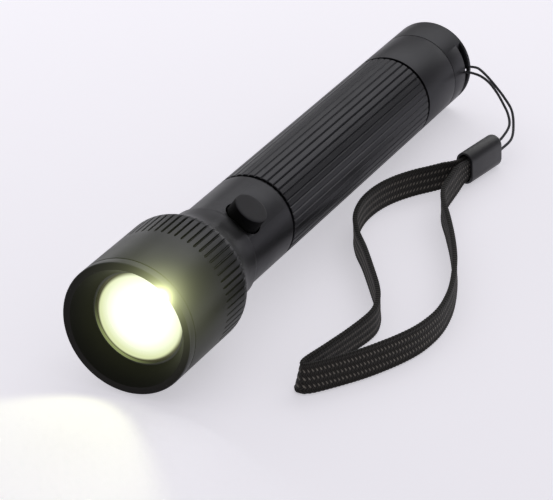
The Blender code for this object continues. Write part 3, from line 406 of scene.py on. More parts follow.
def matt_polymer(name, colour, roughness, grain, depth, shine=0.5):
    """Moulded rubber or plastic from a spark-eroded tool: an even fine grain, with a painted highlight that makes
    it a little lighter on its peaks.
    """
    material, tree, shader = new_material(name, IOR=1.5, Specular_IOR_Level=shine)
    place = add(tree, "ShaderNodeTexCoord")
    # Spark erosion leaves a grain of about 0.05 mm. It is drawn at 0.3 mm or more, so that the render can show it
    bumps = add(tree, "ShaderNodeTexVoronoi", {"Vector": place.outputs["Object"], "Scale": 1 / (grain * MM)})
    cloud = add(tree, "ShaderNodeTexNoise", {"Vector": place.outputs["Object"], "Scale": 150, "Detail": 4})
    # Painted highlight: the colour is a little lighter where the grain stands high
    tone = add(tree, "ShaderNodeMix", {0: bumps.outputs["Distance"], 6: linear(colour), 7: shaded(colour, 1.3)},
               data_type="RGBA")
    gloss = add(tree, "ShaderNodeMapRange", {"Value": cloud.outputs["Fac"], "To Min": roughness - 0.08,
                                             "To Max": roughness + 0.08})
    bump = add(tree, "ShaderNodeBump", {"Height": bumps.outputs["Distance"], "Strength": 0.4,
                                        "Distance": depth * MM})
    tree.links.new(tone.outputs[2], shader.inputs["Base Color"])
    tree.links.new(gloss.outputs[0], shader.inputs["Roughness"])
    tree.links.new(bump.outputs[0], shader.inputs["Normal"])
    return material


def bright_metal(name, colour, roughness, ring_pitch):
    """Bare turned or rolled metal: bright, with fine tool rings about the torch's axis."""
    material, tree, shader = new_material(name, Metallic=1.0)
    own = torch_place(tree)
    # At a scale of 1 the wave repeats about three times a metre
    rings = add(tree, "ShaderNodeTexWave", {"Vector": own, "Scale": 1 / (ring_pitch * MM * 3),
                                            "Distortion": 0.6}, wave_type="RINGS", rings_direction="Z")
    scuffs = add(tree, "ShaderNodeTexNoise", {"Vector": own, "Scale": 400, "Detail": 5})
    tone = add(tree, "ShaderNodeMix", {0: scuffs.outputs["Fac"], 6: shaded(colour, 0.82), 7: linear(colour)},
               data_type="RGBA")
    gloss = add(tree, "ShaderNodeMapRange", {"Value": scuffs.outputs["Fac"], "To Min": roughness - 0.1,
                                             "To Max": roughness + 0.12})
    bump = add(tree, "ShaderNodeBump", {"Height": rings.outputs["Fac"], "Strength": 0.3, "Distance": 0.02 * MM})
    tree.links.new(tone.outputs[2], shader.inputs["Base Color"])
    tree.links.new(gloss.outputs[0], shader.inputs["Roughness"])
    tree.links.new(bump.outputs[0], shader.inputs["Normal"])
    return material


def lit_acrylic():
    """The lens, clear moulded acrylic, with the LED's light painted in as emission. It is a white disc that goes
    yellow-green toward one side, with painted shade at its edge, where the dome turns away. A painted highlight
    near its edge is far brighter than the rest, and makes the picture glare."""
    material, tree, shader = new_material("lit_acrylic", Roughness=0.06, IOR=1.49,
                                          Base_Color=linear("#2b2a20"))
    own = torch_place(tree)
    flat = add(tree, "ShaderNodeVectorMath", {0: own, 1: (1, 1, 0)}, operation="MULTIPLY")
    # Painted light: the emission is white round a centre off the lens's middle and fades to yellow-green
    core = add(tree, "ShaderNodeVectorMath", {0: flat.outputs[0], 1: (2.2 * MM, -2.5 * MM, 0)}, operation="DISTANCE")
    rim = add(tree, "ShaderNodeVectorMath", {0: flat.outputs[0], 1: (0.7 * MM, -0.6 * MM, 0)}, operation="DISTANCE")
    reach = add(tree, "ShaderNodeMapRange", {"Value": core.outputs["Value"], "From Max": 20 * MM})
    painted_glow = add(tree, "ShaderNodeValToRGB", {"Fac": reach.outputs[0]})
    tones = ((0.4, "#ffffff"), (0.5, "#fdfef2"), (0.55, "#f8fbe5"), (0.62, "#f0f6d6"), (0.685, "#e8efc6"),
             (0.745, "#dde5b4"))
    ramp = painted_glow.color_ramp
    while len(ramp.elements) < len(tones):
        ramp.elements.new(0.5)
    for element, (share, colour) in zip(ramp.elements, tones):
        element.position = share
        element.color = linear(colour)
    # Painted shade darkens the lens toward its rim
    edge = add(tree, "ShaderNodeMapRange", {"Value": rim.outputs["Value"], "From Min": 13.8 * MM,
                                            "From Max": 15.15 * MM}, interpolation_type="SMOOTHSTEP")
    colour = add(tree, "ShaderNodeMix", {0: edge.outputs[0], 6: painted_glow.outputs["Color"], 7: linear("#3a3728")},
                 data_type="RGBA")
    # A painted highlight: a small spot up to 170 times as bright as the rest
    spot = add(tree, "ShaderNodeVectorMath", {0: flat.outputs[0], 1: (8.4 * MM, -9.3 * MM, 0)}, operation="DISTANCE")
    power = add(tree, "ShaderNodeMapRange", {"Value": spot.outputs["Value"], "From Max": 2.6 * MM,
                                             "To Min": 170.0, "To Max": 1.0}, interpolation_type="SMOOTHERSTEP")
    tree.links.new(colour.outputs[2], shader.inputs["Emission Color"])
    tree.links.new(power.outputs[0], shader.inputs["Emission Strength"])
    return material


def lit_lip():
    """The black lip that holds the lens, drawn near black as painted shade, with painted light: emission paints
    the lower left of its edge as an olive crescent, where the lens lights it.
    """
    material, tree, shader = new_material("lit_black_lip", Roughness=0.5, IOR=1.5, Base_Color=linear("#0b0b09"),
                                          Emission_Color=linear("#8a9460"))
    own = torch_place(tree)
    # Painted light, strongest at the lower left of the lip and fading with distance
    spot = add(tree, "ShaderNodeVectorMath", {0: own, 1: (-10.0 * MM, 12.4 * MM, 7.7 * MM)},
               operation="DISTANCE")
    power = add(tree, "ShaderNodeMapRange", {"Value": spot.outputs["Value"], "From Min": 2 * MM,
                                             "From Max": 17 * MM, "To Min": 1.0, "To Max": 0.06},
                interpolation_type="SMOOTHSTEP")
    tree.links.new(power.outputs[0], shader.inputs["Emission Strength"])
    return material


def woven(name):
    """Nylon yarns, woven or braided: matt black with a soft sheen and a little fuzz. They follow the piece's
    own UV map."""
    material, tree, shader = new_material(name, IOR=1.5, Roughness=0.85, Specular_IOR_Level=0.3,
                                          Sheen_Weight=0.12, Sheen_Roughness=0.5)
    yarns = add(tree, "ShaderNodeUVMap", uv_map="yarns")
    split = add(tree, "ShaderNodeSeparateXYZ", {"Vector": yarns.outputs[0]})
    fuzz = add(tree, "ShaderNodeTexNoise", {"Vector": yarns.outputs[0], "Scale": 18, "Detail": 4})
    return material, tree, shader, split, fuzz


def webbing():
    """The strap is knitted in columns of slanted yarns, with a stitch in the middle of each column and a corded
    edge. The stitches are painted highlights, and the yarns have painted highlights on their crowns and painted
    shade between them."""
    material, tree, shader, split, fuzz = woven("woven_nylon_webbing")
    # The yarns slant away from the middle of a column, and the stitches slant one way
    column_half, stitch_half, yarn_half = (pitch / 2 / YARN_UNIT for pitch in (COLUMN_PITCH, STITCH_PITCH, YARN_PITCH))
    column = add(tree, "ShaderNodeMath", {0: split.outputs["Y"], 1: column_half, 2: -column_half}, operation="WRAP")
    aside = add(tree, "ShaderNodeMath", {0: column.outputs[0]}, operation="ABSOLUTE")
    slant = add(tree, "ShaderNodeMath", {0: aside.outputs[0], 1: 0.7, 2: split.outputs["X"]},
                operation="MULTIPLY_ADD")
    yarn = add(tree, "ShaderNodeMath", {0: slant.outputs[0], 1: yarn_half, 2: -yarn_half}, operation="WRAP")
    lean = add(tree, "ShaderNodeMath", {0: column.outputs[0], 1: 0.5, 2: split.outputs["X"]},
               operation="MULTIPLY_ADD")
    place = add(tree, "ShaderNodeMath", {0: lean.outputs[0], 1: stitch_half, 2: -stitch_half}, operation="WRAP")
    ahead = add(tree, "ShaderNodeMath", {0: place.outputs[0], 1: 0.034}, operation="DIVIDE")
    beside = add(tree, "ShaderNodeMath", {0: column.outputs[0], 1: 0.068}, operation="DIVIDE")
    spot = add(tree, "ShaderNodeCombineXYZ", {"X": ahead.outputs[0], "Y": beside.outputs[0]})
    far = add(tree, "ShaderNodeVectorMath", {0: spot.outputs[0]}, operation="LENGTH")
    stitch = add(tree, "ShaderNodeMapRange", {"Value": far.outputs["Value"], "From Min": 0.45, "From Max": 1.1,
                                              "To Min": 1.0, "To Max": 0.0}, interpolation_type="SMOOTHSTEP")
    # The painted highlights on the stitches vary in strength: some stitches lie on top, others half sink between the
    # yarns
    highlight_patchiness = add(tree, "ShaderNodeMapRange", {"Value": fuzz.outputs["Fac"], "From Min": 0.35, "From Max": 0.65,
                                              "To Min": 0.45, "To Max": 1.0})
    # The corded edges have no stitches, so no painted highlights
    within = add(tree, "ShaderNodeMath", {0: split.outputs["Y"]}, operation="ABSOLUTE")
    inside = add(tree, "ShaderNodeMath", {0: within.outputs[0], 1: 0.36}, operation="LESS_THAN")
    seen = add(tree, "ShaderNodeMath", {0: stitch.outputs[0], 1: inside.outputs[0]}, operation="MULTIPLY")
    highlight_weight = add(tree, "ShaderNodeMath", {0: seen.outputs[0], 1: highlight_patchiness.outputs[0]}, operation="MULTIPLY")
    off = add(tree, "ShaderNodeMath", {0: yarn.outputs[0]}, operation="ABSOLUTE")
    crown = add(tree, "ShaderNodeMapRange", {"Value": off.outputs[0], "From Max": yarn_half, "To Min": 1.0,
                                             "To Max": 0.0}, interpolation_type="SMOOTHSTEP")
    # Each yarn is lighter on its crown and darker between: painted highlight and painted shade
    painted_yarn_shading = add(tree, "ShaderNodeMix", {0: crown.outputs[0], 6: linear("#0a0a09"), 7: linear("#322f2a")},
               data_type="RGBA")
    # The stitches are painted highlights, a light grey-tan over the black yarns
    tone = add(tree, "ShaderNodeMix", {0: highlight_weight.outputs[0], 6: painted_yarn_shading.outputs[2], 7: linear("#827c73")},
               data_type="RGBA")
    rough = add(tree, "ShaderNodeBump", {"Height": fuzz.outputs["Fac"], "Strength": 0.4, "Distance": 0.1 * MM})
    bump = add(tree, "ShaderNodeBump", {"Height": crown.outputs[0], "Strength": 0.8, "Distance": 0.15 * MM,
                                        "Normal": rough.outputs[0]})
    tree.links.new(tone.outputs[2], shader.inputs["Base Color"])
    tree.links.new(bump.outputs[0], shader.inputs["Normal"])
    return material


def braid():
    """The cord's braid: charcoal yarns that change a little in tone."""
    material, tree, shader, split, fuzz = woven("braided_nylon_cord")
    tone = add(tree, "ShaderNodeMix", {0: fuzz.outputs["Fac"], 6: linear("#242527"), 7: linear("#4d4e51")},
               data_type="RGBA")
    bump = add(tree, "ShaderNodeBump", {"Height": fuzz.outputs["Fac"], "Strength": 0.4, "Distance": 0.05 * MM})
    tree.links.new(tone.outputs[2], shader.inputs["Base Color"])
    tree.links.new(bump.outputs[0], shader.inputs["Normal"])
    return material


def printed_board(name, mask, mark, roughness):
    """Solder mask on a circuit board: semi-gloss paint over copper tracks that show as a faint relief."""
    material, tree, shader = new_material(name, IOR=1.5)
    place = add(tree, "ShaderNodeTexCoord")
    # Rows of tracks 1 mm apart
    tracks = add(tree, "ShaderNodeTexBrick", {"Vector": place.outputs["Object"], "Scale": 1 / (4 * MM),
                                              "Color1": linear(mask), "Color2": linear(mask),
                                              "Mortar": linear(mark), "Mortar Size": 0.03})
    grain = add(tree, "ShaderNodeTexNoise", {"Vector": place.outputs["Object"], "Scale": 900, "Detail": 3})
    gloss = add(tree, "ShaderNodeMapRange", {"Value": grain.outputs["Fac"], "To Min": roughness - 0.1,
                                             "To Max": roughness + 0.1})
    bump = add(tree, "ShaderNodeBump", {"Height": tracks.outputs["Fac"], "Strength": 0.4, "Distance": 0.04 * MM})
    tree.links.new(tracks.outputs["Color"], shader.inputs["Base Color"])
    tree.links.new(gloss.outputs[0], shader.inputs["Roughness"])
    tree.links.new(bump.outputs[0], shader.inputs["Normal"])
    return material


def phosphor():
    """The LED: a yellow phosphor plate under a clear silicone dome, lit."""
    material, tree, shader = new_material("lit_phosphor", Roughness=0.2, IOR=1.41, Coat_Weight=0.6,
                                          Emission_Color=linear("#fff3b0"), Emission_Strength=4.0)
    place = add(tree, "ShaderNodeTexCoord")
    grain = add(tree, "ShaderNodeTexNoise", {"Vector": place.outputs["Object"], "Scale": 3000, "Detail": 3})
    tone = add(tree, "ShaderNodeMix", {0: grain.outputs["Fac"], 6: linear("#d8b32a"), 7: linear("#f4dc62")},
               data_type="RGBA")
    tree.links.new(tone.outputs[2], shader.inputs["Base Color"])
    return material


def cell_sleeve():
    """A C cell's printed metal jacket: a smooth silver sleeve, with a plain dark band at one end."""
    material, tree, shader = new_material("silver_cell_sleeve", Metallic=0.85, Coat_Weight=0.5)
    own = torch_place(tree)
    scuffs = add(tree, "ShaderNodeTexNoise", {"Vector": own, "Scale": 250, "Detail": 5})
    split = add(tree, "ShaderNodeSeparateXYZ", {"Vector": own})
    # The cells stand 50 mm apart, the first from 76.3 mm along the torch
    pitch = add(tree, "ShaderNodeMath", {0: split.outputs["Z"], 1: 126.3 * MM, 2: 76.3 * MM}, operation="WRAP")
    band = add(tree, "ShaderNodeMath", {0: pitch.outputs[0], 1: 112 * MM}, operation="GREATER_THAN")
    tone = add(tree, "ShaderNodeMix", {0: band.outputs[0], 6: linear("#b4b6ba"), 7: linear("#2b2c30")},
               data_type="RGBA")
    gloss = add(tree, "ShaderNodeMapRange", {"Value": scuffs.outputs["Fac"], "To Min": 0.22, "To Max": 0.5})
    tree.links.new(tone.outputs[2], shader.inputs["Base Color"])
    tree.links.new(gloss.outputs[0], shader.inputs["Roughness"])
    return material


def opal_acrylic():
    """The floor: a light table, a matt sheet of opal acrylic lit from below, which keeps the shadows pale."""
    material, tree, shader = new_material("opal_acrylic", Roughness=0.75, IOR=1.4, Specular_IOR_Level=0.25,
                                          Emission_Color=linear("#f3f1f7"), Emission_Strength=0.53)
    place = add(tree, "ShaderNodeTexCoord")
    grain = add(tree, "ShaderNodeTexNoise", {"Vector": place.outputs["Object"], "Scale": 700, "Detail": 4})
    cloud = add(tree, "ShaderNodeTexNoise", {"Vector": place.outputs["Object"], "Scale": 6, "Detail": 1})
    tone = add(tree, "ShaderNodeMix", {0: cloud.outputs["Fac"], 6: linear("#e4e2e8"), 7: linear("#e8e6ec")},
               data_type="RGBA")
    bump = add(tree, "ShaderNodeBump", {"Height": grain.outputs["Fac"], "Strength": 0.05, "Distance": 0.05 * MM})
    tree.links.new(tone.outputs[2], shader.inputs["Base Color"])
    tree.links.new(bump.outputs[0], shader.inputs["Normal"])
    return material


# Metal parts. Outlines are of (place, radius) or (place, radius, fillet), in millimetres

METAL = anodised("black_anodised_aluminium", "#424244", 0.38)
# A darker copy of the metal for the bezel's front face: painted shade
FRONT_METAL_PAINTED_SHADE = anodised("black_anodised_front_face_painted_shade", "#201f20", 0.45)
# The cone inside the bezel, part of the same anodised ring, drawn near black and matt: painted shade in the recess
CONE_PAINTED_SHADE = matt_polymer("matt_black_cone_painted_shade", "#080806", 0.7, 0.5, 0.01, shine=0.16)


def make_bezel():
    """The front face, drawn darker as painted shade, the cone, drawn near black as painted shade, and the lip
    round the lens, with painted light, each have a material of their own.
    """
    mouth, face_edge = 20.2, 22.42
    lip_front, lip_back, lip_edge = 8.2, 9.2, 15.75
    corners = [
        (0, mouth, 0.12), (0, face_edge, 0.1), (0.3, HEAD_RADIUS, 0.12), (HAIRLINE, HEAD_RADIUS, 0.08),
        (HAIRLINE, 20.9), (lip_back, 20.9), (lip_back, 15.5), (lip_front, 15.5, 0.08), (lip_front, lip_edge),
        (lip_front, 16.4), (7.2, 16.4),
    ]
    bezel = turned("bezel_ring_turned", rounded(corners), RIM_SIDES)
    lay_down(bezel, TORCH)
    finish(bezel, "bezel_ring", "head", "anodised_black", METAL, FRONT_METAL_PAINTED_SHADE, CONE_PAINTED_SHADE, lit_lip())
    for face in bezel.data.polygons:
        middle = TORCH.inverted() @ face.center / MM
        radius = hypot(middle.x, middle.y)
        if lip_front - 0.1 < middle.z < lip_back + 0.1 and radius < lip_edge - 0.01:
            face.material_index = 3
        elif 0.05 < middle.z < lip_front - 0.1 and radius < mouth + 0.05:
            face.material_index = 2
        elif middle.z < 0.2 and radius < face_edge + 0.08:
            face.material_index = 1


def make_lens():
    steps = 20
    flange, dome_height, dome_radius = 9.5, 4.6, 15.2
    turns = [pi / 2 * k / steps for k in range(steps + 1)]
    dome = [(flange - dome_height * cos(turn), dome_radius * sin(turn)) for turn in turns]
    lens = turned("lens_moulded", dome + [(flange, 18.4), (11.5, 18.4), (11.5, 0)], 96)
    lay_down(lens, TORCH)
    finish(lens, "lens", "head", "lens_acrylic", lit_acrylic(), angle=40)


def make_head():
    shoulder = [
        (37.5, 22.72), (38.4, 22.68), (39.2, 22.54), (40.0, 22.28), (41.0, 21.86), (42.0, 21.36), (43.0, 20.84),
        (44.5, 20.1), (46.0, 19.45), (48.0, 18.75), (50.0, 18.2), (52.0, 17.76), (54.0, 17.42), (55.3, 17.22),
        (56.6, 17.08), (57.8, 16.98),
    ]
    edges = [24.9, 25.05, 25.2, 25.4, 25.7, 26.2, 28, 31, 34, 36]
    front = HAIRLINE + HAIRLINE_WIDTH
    corners = ([(front, 21.2), (front, HEAD_RADIUS, 0.08), (24, HEAD_RADIUS)]
               + [(place, HEAD_RADIUS) for place in edges] + shoulder
               + [(58, 16.9), (58, 16.35, 0.1), (33.3, 16.35), (33.3, 18.0), (13.1, 18.0), (13.1, 18.7),
                  (9.5, 18.7), (9.5, 21.2)])
    # A slot's front end deepens quickly and is rounded in plan. Its rear end runs out where the shoulder falls
    middle, beside, wall = SLOT_FLOORS
    front_ends = (((24.9, 22.8), (25.2, 22.2), (25.7, middle)), ((25.05, 22.8), (25.4, 22.25), (25.7, beside)),
                  ((25.2, 22.8), (25.7, 22.5), (26.2, wall)))

    def sunk(place, column):
        if column >= len(front_ends) or place < 20:
            return NOT_SUNK
        return between(front_ends[column], place)

    head = turned("head_barrel_slotted", rounded(corners), HEAD_SIDES, SLOT_COUNT, sunk)
    lay_down(head, TORCH @ Matrix.Rotation(SLOT_PHASE, 4, "Z"))
    finish(head, "head_barrel", "head", "anodised_black", METAL)


def make_housing():
    corners = [
        (20, 14.5), (20, 17.7), (24, 17.7), (24, BODY_RADIUS), (45, BODY_RADIUS), (45, 14.8), (47, 14.8),
        (47, BODY_RADIUS), (87.2, BODY_RADIUS, 0.15), (87.2, 14.85), (96.2, 14.85), (96.2, 13.5), (55.2, 13.5),
        (55.2, 12.5), (32.2, 12.5), (32.2, 14.5),
    ]
    housing = turned("switch_housing_turned", rounded(corners), ROUND_SIDES)
    lay_down(housing, TORCH)
    hole = 6.6
    cutter = turned("button_hole", [(0, 0), (0, hole), (30, hole), (30, 0)], 96)
    lay_down(cutter, BUTTON)
    carve(housing, cutter)
    spot = FRONT + ALONG * BUTTON_PLACE * MM

    def at_rim(point):
        out = point - spot
        reach = out.dot(FACING)
        return reach > 14 * MM and (out - FACING * reach).length < (hole + 0.2) * MM

    ease_edges(housing, at_rim, 0.18)
    finish(housing, "switch_housing", "torch_body", "anodised_black", METAL)


def make_button():
    corners = [(9.6, 0), (9.6, 7.5), (10.8, 7.5), (10.8, 6.0), (20.3, 6.0, 0.45), (20.3, 4.6), (20.26, 3.0),
               (20.24, 0)]
    button = turned("button_cap_moulded", rounded(corners), 96)
    lay_down(button, BUTTON)
    finish(button, "button_cap", "button", "button_rubber",
           matt_polymer("moulded_silicone_rubber", "#19181c", 0.66, 0.35, 0.04),
           matt_polymer("dull_silicone_rubber_painted_shade", "#060607", 0.8, 0.35, 0.04, shine=0.1))
    # The wall is a darker, duller copy of the top's rubber: its darker colour is painted shade, and the top is
    # glossier, which thumbs polish
    for face in button.data.polygons:
        face.material_index = int(face.normal.dot(FACING) < 0.4)


def make_tube():
    grip_start, grip_end = 89.0, 199.3
    corners = [
        (87.5, 15.15), (87.5, 15.25), (grip_start, 15.25), (grip_start, 15.8), (89.2, BODY_RADIUS),
        (199.1, BODY_RADIUS), (grip_end, 15.8), (grip_end, 15.25), (200.6, 15.25), (200.6, BODY_RADIUS, 0.12),
        (223.4, BODY_RADIUS, 0.15), (223.4, 15.15), (213.8, 15.15), (213.8, 14.2), (96.5, 14.2), (96.5, 15.15),
    ]

    def sunk(place, column):
        if column >= len(FLUTE_FLOORS) or not grip_start - 0.1 < place < grip_end + 0.1:
            return NOT_SUNK
        return FLUTE_FLOORS[column]

    tube = turned("battery_tube_fluted", rounded(corners), TUBE_SIDES, FLUTE_COUNT, sunk)
    lay_down(tube, TORCH @ Matrix.Rotation(FLUTE_PHASE, 4, "Z"))
    finish(tube, "battery_tube", "torch_body", "anodised_black", METAL)


def make_tail_cap():
    corners = [
        (214.1, 13.5), (214.1, 14.85), (220.75, 14.85), (220.75, 14.05), (222.25, 14.05), (222.25, 14.85),
        (223.7, 14.85), (223.7, BODY_RADIUS, 0.15), (237.9, BODY_RADIUS, 0.1), (238.4, 15.5, 0.1), (238.4, 0),
        (232.0, 0), (232.0, 13.5),
    ]
    cap = turned("tail_cap_turned", rounded(corners), ROUND_SIDES)
    # A slot across one side, and a hole through the end into it, leave a bar for the cord
    slot_floor, slot_place, hole_place = 12, 234.8, 13.5
    nothing_selected()
    bpy.ops.mesh.primitive_cube_add(size=1, location=((slot_floor + 10) * MM, 0, slot_place * MM))
    cutter = bpy.context.object
    cutter.scale = (20 * MM, 60 * MM, 3.6 * MM)
    bpy.ops.object.transform_apply(location=True, rotation=True, scale=True)
    carve(cap, cutter)
    cutter = turned("cord_hole", [(slot_place, 0), (slot_place, 1.25), (245, 1.25), (245, 0)], 32)
    cutter.location = (hole_place * MM, 0, 0)
    carve(cap, cutter)

    def at_slot(point):
        within = hypot(point.x, point.y) < (BODY_RADIUS + 0.2) * MM
        return point.x > (slot_floor - 0.1) * MM and point.z > 232.5 * MM and within

    ease_edges(cap, at_slot, 0.15)
    lay_down(cap, TORCH)
    finish(cap, "tail_cap", "tail_cap", "anodised_black", METAL)


# Ferrule, cord and strap

def draw_through(rows):
    """Draws the selected ring through rows of (place, thickness, height), in millimetres, and closes it."""
    for (place, thickness, height), (next_place, next_thickness, next_height) in zip(rows, rows[1:]):
        bpy.ops.mesh.extrude_edges_move(TRANSFORM_OT_translate={"value": (0, 0, (next_place - place) * MM)})
        bpy.ops.transform.resize(value=(next_thickness / thickness, next_height / height, 1),
                                 center_override=(0, 0, next_place * MM))
    bpy.ops.mesh.fill()


def make_ferrule():
    """An oval sleeve: a round ring is pulled apart into an oval, then drawn out along the sleeve and back
    down its bore."""
    nothing_selected()
    bpy.ops.mesh.primitive_circle_add(vertices=46, radius=3.5 * MM, enter_editmode=True)
    ferrule = bpy.context.object
    ferrule.name = "ferrule_moulded"
    ferrule.data.name = "ferrule_moulded"
    for way in (1, -1):
        select_corners(ferrule, lambda corner: corner.co.y * way > 0)
        bpy.ops.transform.translate(value=(0, 2.5 * way * MM, 0))
    bpy.ops.mesh.select_all(action="SELECT")
    bpy.ops.transform.resize(value=(6.7 / 7, 11.7 / 12, 1), center_override=(0, 0, 0))
    rim, bend, fillet, steps = (0.0, 6.7, 11.7), 17.9, 1.6, 6
    rows = [rim, (0.12, 6.93, 11.93), (0.35, 7.0, 12.0), (bend, 7.0, 12.0)]
    for k in range(1, steps + 1):
        turn = pi / 2 * k / steps
        inset = 2 * fillet * (1 - cos(turn))
        rows.append((bend + fillet * sin(turn), 7.0 - inset, 12.0 - inset))
    draw_through(rows)
    select_corners(ferrule, lambda corner: abs(corner.co.z) < 0.01 * MM)
    draw_through([rim, (0.0, 5.3, 10.9), (0.3, 5.0, 10.6), (16.5, 5.0, 10.6)])
    bpy.ops.mesh.select_all(action="SELECT")
    bpy.ops.mesh.normals_make_consistent(inside=False)
    lay_down(ferrule, FERRULE)
    finish(ferrule, "ferrule", "tail_cap", "ferrule_plastic",
           matt_polymer("moulded_black_abs", "#1c1c1f", 0.42, 0.3, 0.02), angle=40)
    return ferrule


def make_cord():
    """Braided cord: sixteen columns of corners, raised where the braid's two helices cross over."""
    sides = 16
    stations = even_stations(smooth_route(CORD_ROUTE, 10), 0.2)
    loops = []
    flat = Vector((0, 0, 1))
    for k, (along, centre) in enumerate(stations):
        ahead = (stations[min(k + 1, len(stations) - 1)][1] - stations[max(k - 1, 0)][1]).normalized()
        side = ahead.cross(flat).normalized()
        rise = side.cross(ahead)
        loop = []
        for j in range(sides):
            turn = tau * j / sides
            weave = cos(4 * turn + along * 3.2) * cos(4 * turn - along * 3.2)
            radius = (CORD_RADIUS - BRAID_DEPTH + BRAID_DEPTH * weave) * MM
            loop.append(centre + (side * cos(turn) + rise * sin(turn)) * radius)
        loops.append(loop)
    cord = swept("lanyard_cord_braided", loops, lambda row, k: (stations[row][0], k * pi / sides))
    finish(cord, "lanyard_cord", "tail_cap", "cord_nylon", braid(), angle=60)
    path = [tuple(point) for point in smooth_route(CORD_ROUTE, 4)]
    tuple(path[0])


def strap_section():
    """Corners round the webbing's section, as (across, out), each from -1 to 1 of its half width and half
    thickness, with rounded edges."""
    count = 25
    face = [(-STRAP_EDGE + 2 * STRAP_EDGE * k / (count - 1), 1.0) for k in range(count)]
    edge = [(STRAP_EDGE + (1 - STRAP_EDGE) * sin(turn), cos(turn)) for turn in (0.6, 1.1, pi / 2, 2.04, 2.54)]
    half = face + edge
    return half + [(-across, -out) for across, out in half]


def make_strap():
    """Webbing on edge along its route, gathered to a narrower width where it enters the ferrule."""
    stations = even_stations(smooth_route(STRAP_ROUTE, 12), 0.25)
    total = stations[-1][0]
    section = strap_section()
    loops = []
    for k, (along, centre) in enumerate(stations):
        from_end = min(along, total - along)
        opened = min(1, max(0, (from_end - STRAP_INSERT) / STRAP_GATHER))
        width = STRAP_END_WIDTH + (STRAP_WIDTH - STRAP_END_WIDTH) * opened
        ahead = stations[min(k + 2, len(stations) - 1)][1] - stations[max(k - 2, 0)][1]
        lean = radians(between(STRAP_LEANS, along / total))
        side = Vector((ahead.y, -ahead.x, 0)).normalized()
        rise = Vector((0, 0, 1)) * cos(lean) + side * sin(lean)
        out = side * cos(lean) - Vector((0, 0, 1)) * sin(lean)
        foot = (width / 2 * cos(lean) + STRAP_THICKNESS / 2 * abs(sin(lean)) + 0.05) * MM
        middle = Vector((centre.x, centre.y, max(centre.z, foot)))
        loop = []
        for across, off in section:
            place = across * width / 2
            if abs(across) > STRAP_EDGE:
                place += 0.06 * cos(tau * along / STITCH_PITCH) * across
            half = STRAP_THICKNESS / 2 - YARN_DEPTH + strap_relief(along, across * STRAP_WIDTH / 2, off)
            loop.append(middle + rise * place * MM + out * off * half * MM)
        loops.append(loop)
    around = len(section)

    def marks(row, k):
        across, off = section[k % around]
        return stations[row][0], across * STRAP_WIDTH / 2

    strap = swept("wrist_strap_webbing", loops, marks)
    finish(strap, "wrist_strap", "tail_cap", "strap_webbing", webbing(), angle=60)
    path = [tuple(point) for point in smooth_route(STRAP_ROUTE, 4)]


def strap_relief(along, across, off):
    """How far the yarns stand out, in millimetres: rounded columns of slanted yarns, and a corded edge."""
    if abs(across) > CORDED:
        return 0.24 + 0.06 * cos(tau * (along / STITCH_PITCH + off / 4))
    row = (across + 1.5 * COLUMN_PITCH) % COLUMN_PITCH - COLUMN_PITCH / 2
    yarn = 0.06 * cos(tau * (along + 0.7 * abs(row)) / STITCH_PITCH)
    crown = 0.16 * cos(pi * row / COLUMN_PITCH)
    return yarn + crown - 0.04


# Inside parts keep their solids

def dress_inside():
    rubber = matt_polymer("nitrile_rubber", "#131314", 0.7, 0.4, 0.03)
    black = matt_polymer("moulded_black_nylon", "#1b1b1d", 0.5, 0.5, 0.03)
    steel = bright_metal("nickel_plated_steel", "#c9cacd", 0.28, 0.4)
    brass = bright_metal("stamped_brass", "#d9b36a", 0.32, 0.5)
    finishes = {
        "lens_gasket": rubber, "neck_o_ring": rubber, "tail_o_ring": rubber,
        "led_pill": bright_metal("turned_aluminium", "#c4c5c8", 0.35, 0.6),
        "led_board": printed_board("white_solder_mask", "#e4e6e1", "#c9ccc4", 0.42),
        "driver_board": printed_board("green_solder_mask", "#1f6a38", "#3d8a54", 0.38),
        "led_emitter": phosphor(), "led_collar": black, "switch_carrier": black, "switch_body": black,
        "switch_plunger": matt_polymer("natural_acetal", "#b9b8b2", 0.4, 0.5, 0.02),
        "front_contact": brass, "tail_contact_disc": brass, "tail_spring": steel,
        "cell_liner": matt_polymer("grey_pvc_sleeve", "#b4b4b0", 0.5, 0.8, 0.03),
    }
    sleeve = cell_sleeve()
    finishes.update({f"cell_{k}": sleeve for k in (1, 2, 3)})
    for node, material in finishes.items():
        data = frame["nodes"][node].data
        data.materials.clear()
        data.materials.append(material)


# Floor, light and camera

def lay_floor():
    nothing_selected()
    bpy.ops.mesh.primitive_plane_add(size=6, location=(0, 0, -0.1 * MM))
    floor = bpy.context.object
    floor.name = "light_table"
    bpy.ops.object.transform_apply(location=True, rotation=True, scale=True)
    floor.data.materials.append(opal_acrylic())


def softbox(name, place, aim, size, power):
    """A white rectangular lamp that the camera doesn't see."""
    nothing_selected()
    bpy.ops.object.light_add(type="AREA", location=place)
    lamp = bpy.context.object
    lamp.name = name
    lamp.visible_camera = False
    lamp.rotation_euler = (Vector(aim) - Vector(place)).to_track_quat("-Z", "Y").to_euler()
    lamp.data.shape = "RECTANGLE"
    lamp.data.size, lamp.data.size_y = size
    lamp.data.energy = power


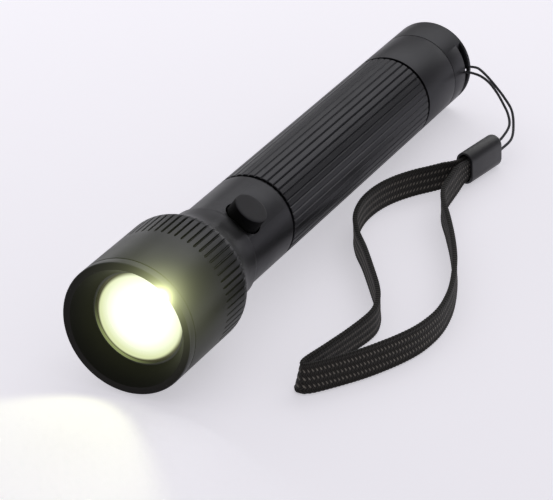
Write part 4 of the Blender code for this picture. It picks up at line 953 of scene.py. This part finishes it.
def light_torch():
    """The torch's own beam on the floor. The sliding head throws an even disc, so the beam keeps its strength
    with distance. The lamp rides on the head, as the lens does."""
    nothing_selected()
    heading, down = radians(6.1), radians(23.3)
    way = Vector((-sin(heading) * cos(down), -cos(heading) * cos(down), -sin(down)))
    bpy.ops.object.light_add(type="SPOT", location=FRONT + Vector((-7.2, 1.5, -4.4)) * MM)
    beam = bpy.context.object
    beam.name = "torch_beam"
    beam.rotation_euler = way.to_track_quat("-Z", "Y").to_euler()
    beam.data.spot_size = radians(2 * 50.4)
    beam.data.spot_blend = 0.4
    beam.data.energy = 0.011
    beam.data.shadow_soft_size = 0.002
    beam.data.color = linear("#f4fabe")[:3]
    beam.data.use_nodes = True
    tree = beam.data.node_tree
    even = add(tree, "ShaderNodeLightFalloff", {"Strength": 1900.0})
    tree.links.new(even.outputs["Constant"], tree.nodes["Emission"].inputs["Strength"])
    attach(beam, "head")


def light_room():
    """A pale room with four softboxes: one behind, a low one for the shoulder of the head, a near one for the
    neck and one at the left."""
    world = bpy.data.worlds.new("studio")
    bpy.context.scene.world = world
    world.use_nodes = True
    back = world.node_tree.nodes["Background"]
    back.inputs["Color"].default_value = linear("#f9f7fc")
    back.inputs["Strength"].default_value = 0.33
    softbox("softbox_back", (0.1, 1.5, 1.25), (0, 0, 0), (1.6, 1.0), 6.5)
    softbox("softbox_low", (0.05, 1.4, 0.16), (0, 0, 0.03), (0.6, 0.24), 1.3)
    softbox("softbox_near", (-0.36, 0.58, 0.36), (0, -0.06, 0.03), (0.3, 0.2), 0.26)
    softbox("softbox_left", (-0.72, 0.36, 0.2), (0, -0.05, 0.2), (0.8, 0.3), 1.3)


def set_camera():
    nothing_selected()
    bpy.ops.object.camera_add(location=CAMERA_PLACE)
    camera = bpy.context.object
    camera.name = "photo_camera"
    camera.rotation_euler = CAMERA_TURN
    camera.data.sensor_width = SENSOR_WIDTH
    camera.data.lens = FOCAL_PIXELS / PHOTO_WIDTH * SENSOR_WIDTH
    bpy.context.scene.camera = camera


def set_picture():
    """The picture keeps its tones as they are, and the lens glares a little, as it does in any camera."""
    scene = bpy.context.scene
    scene.view_settings.view_transform = "Standard"
    scene.use_nodes = True
    tree = scene.node_tree
    tree.nodes.clear()
    seen = add(tree, "CompositorNodeRLayers")
    glare = add(tree, "CompositorNodeGlare", {"Image": seen.outputs["Image"], "Threshold": 1.2, "Strength": 0.8,
                                              "Size": 0.17, "Tint": linear("#f8ffc2")}, glare_type="BLOOM")
    add(tree, "CompositorNodeComposite", {"Image": glare.outputs["Image"]})


set_camera()
ferrule = make_ferrule()
make_cord()
make_strap()
make_bezel()
make_lens()
make_head()
make_housing()
make_button()
make_tube()
make_tail_cap()
dress_inside()
lay_floor()
light_room()
light_torch()
set_picture()
nothing_selected()
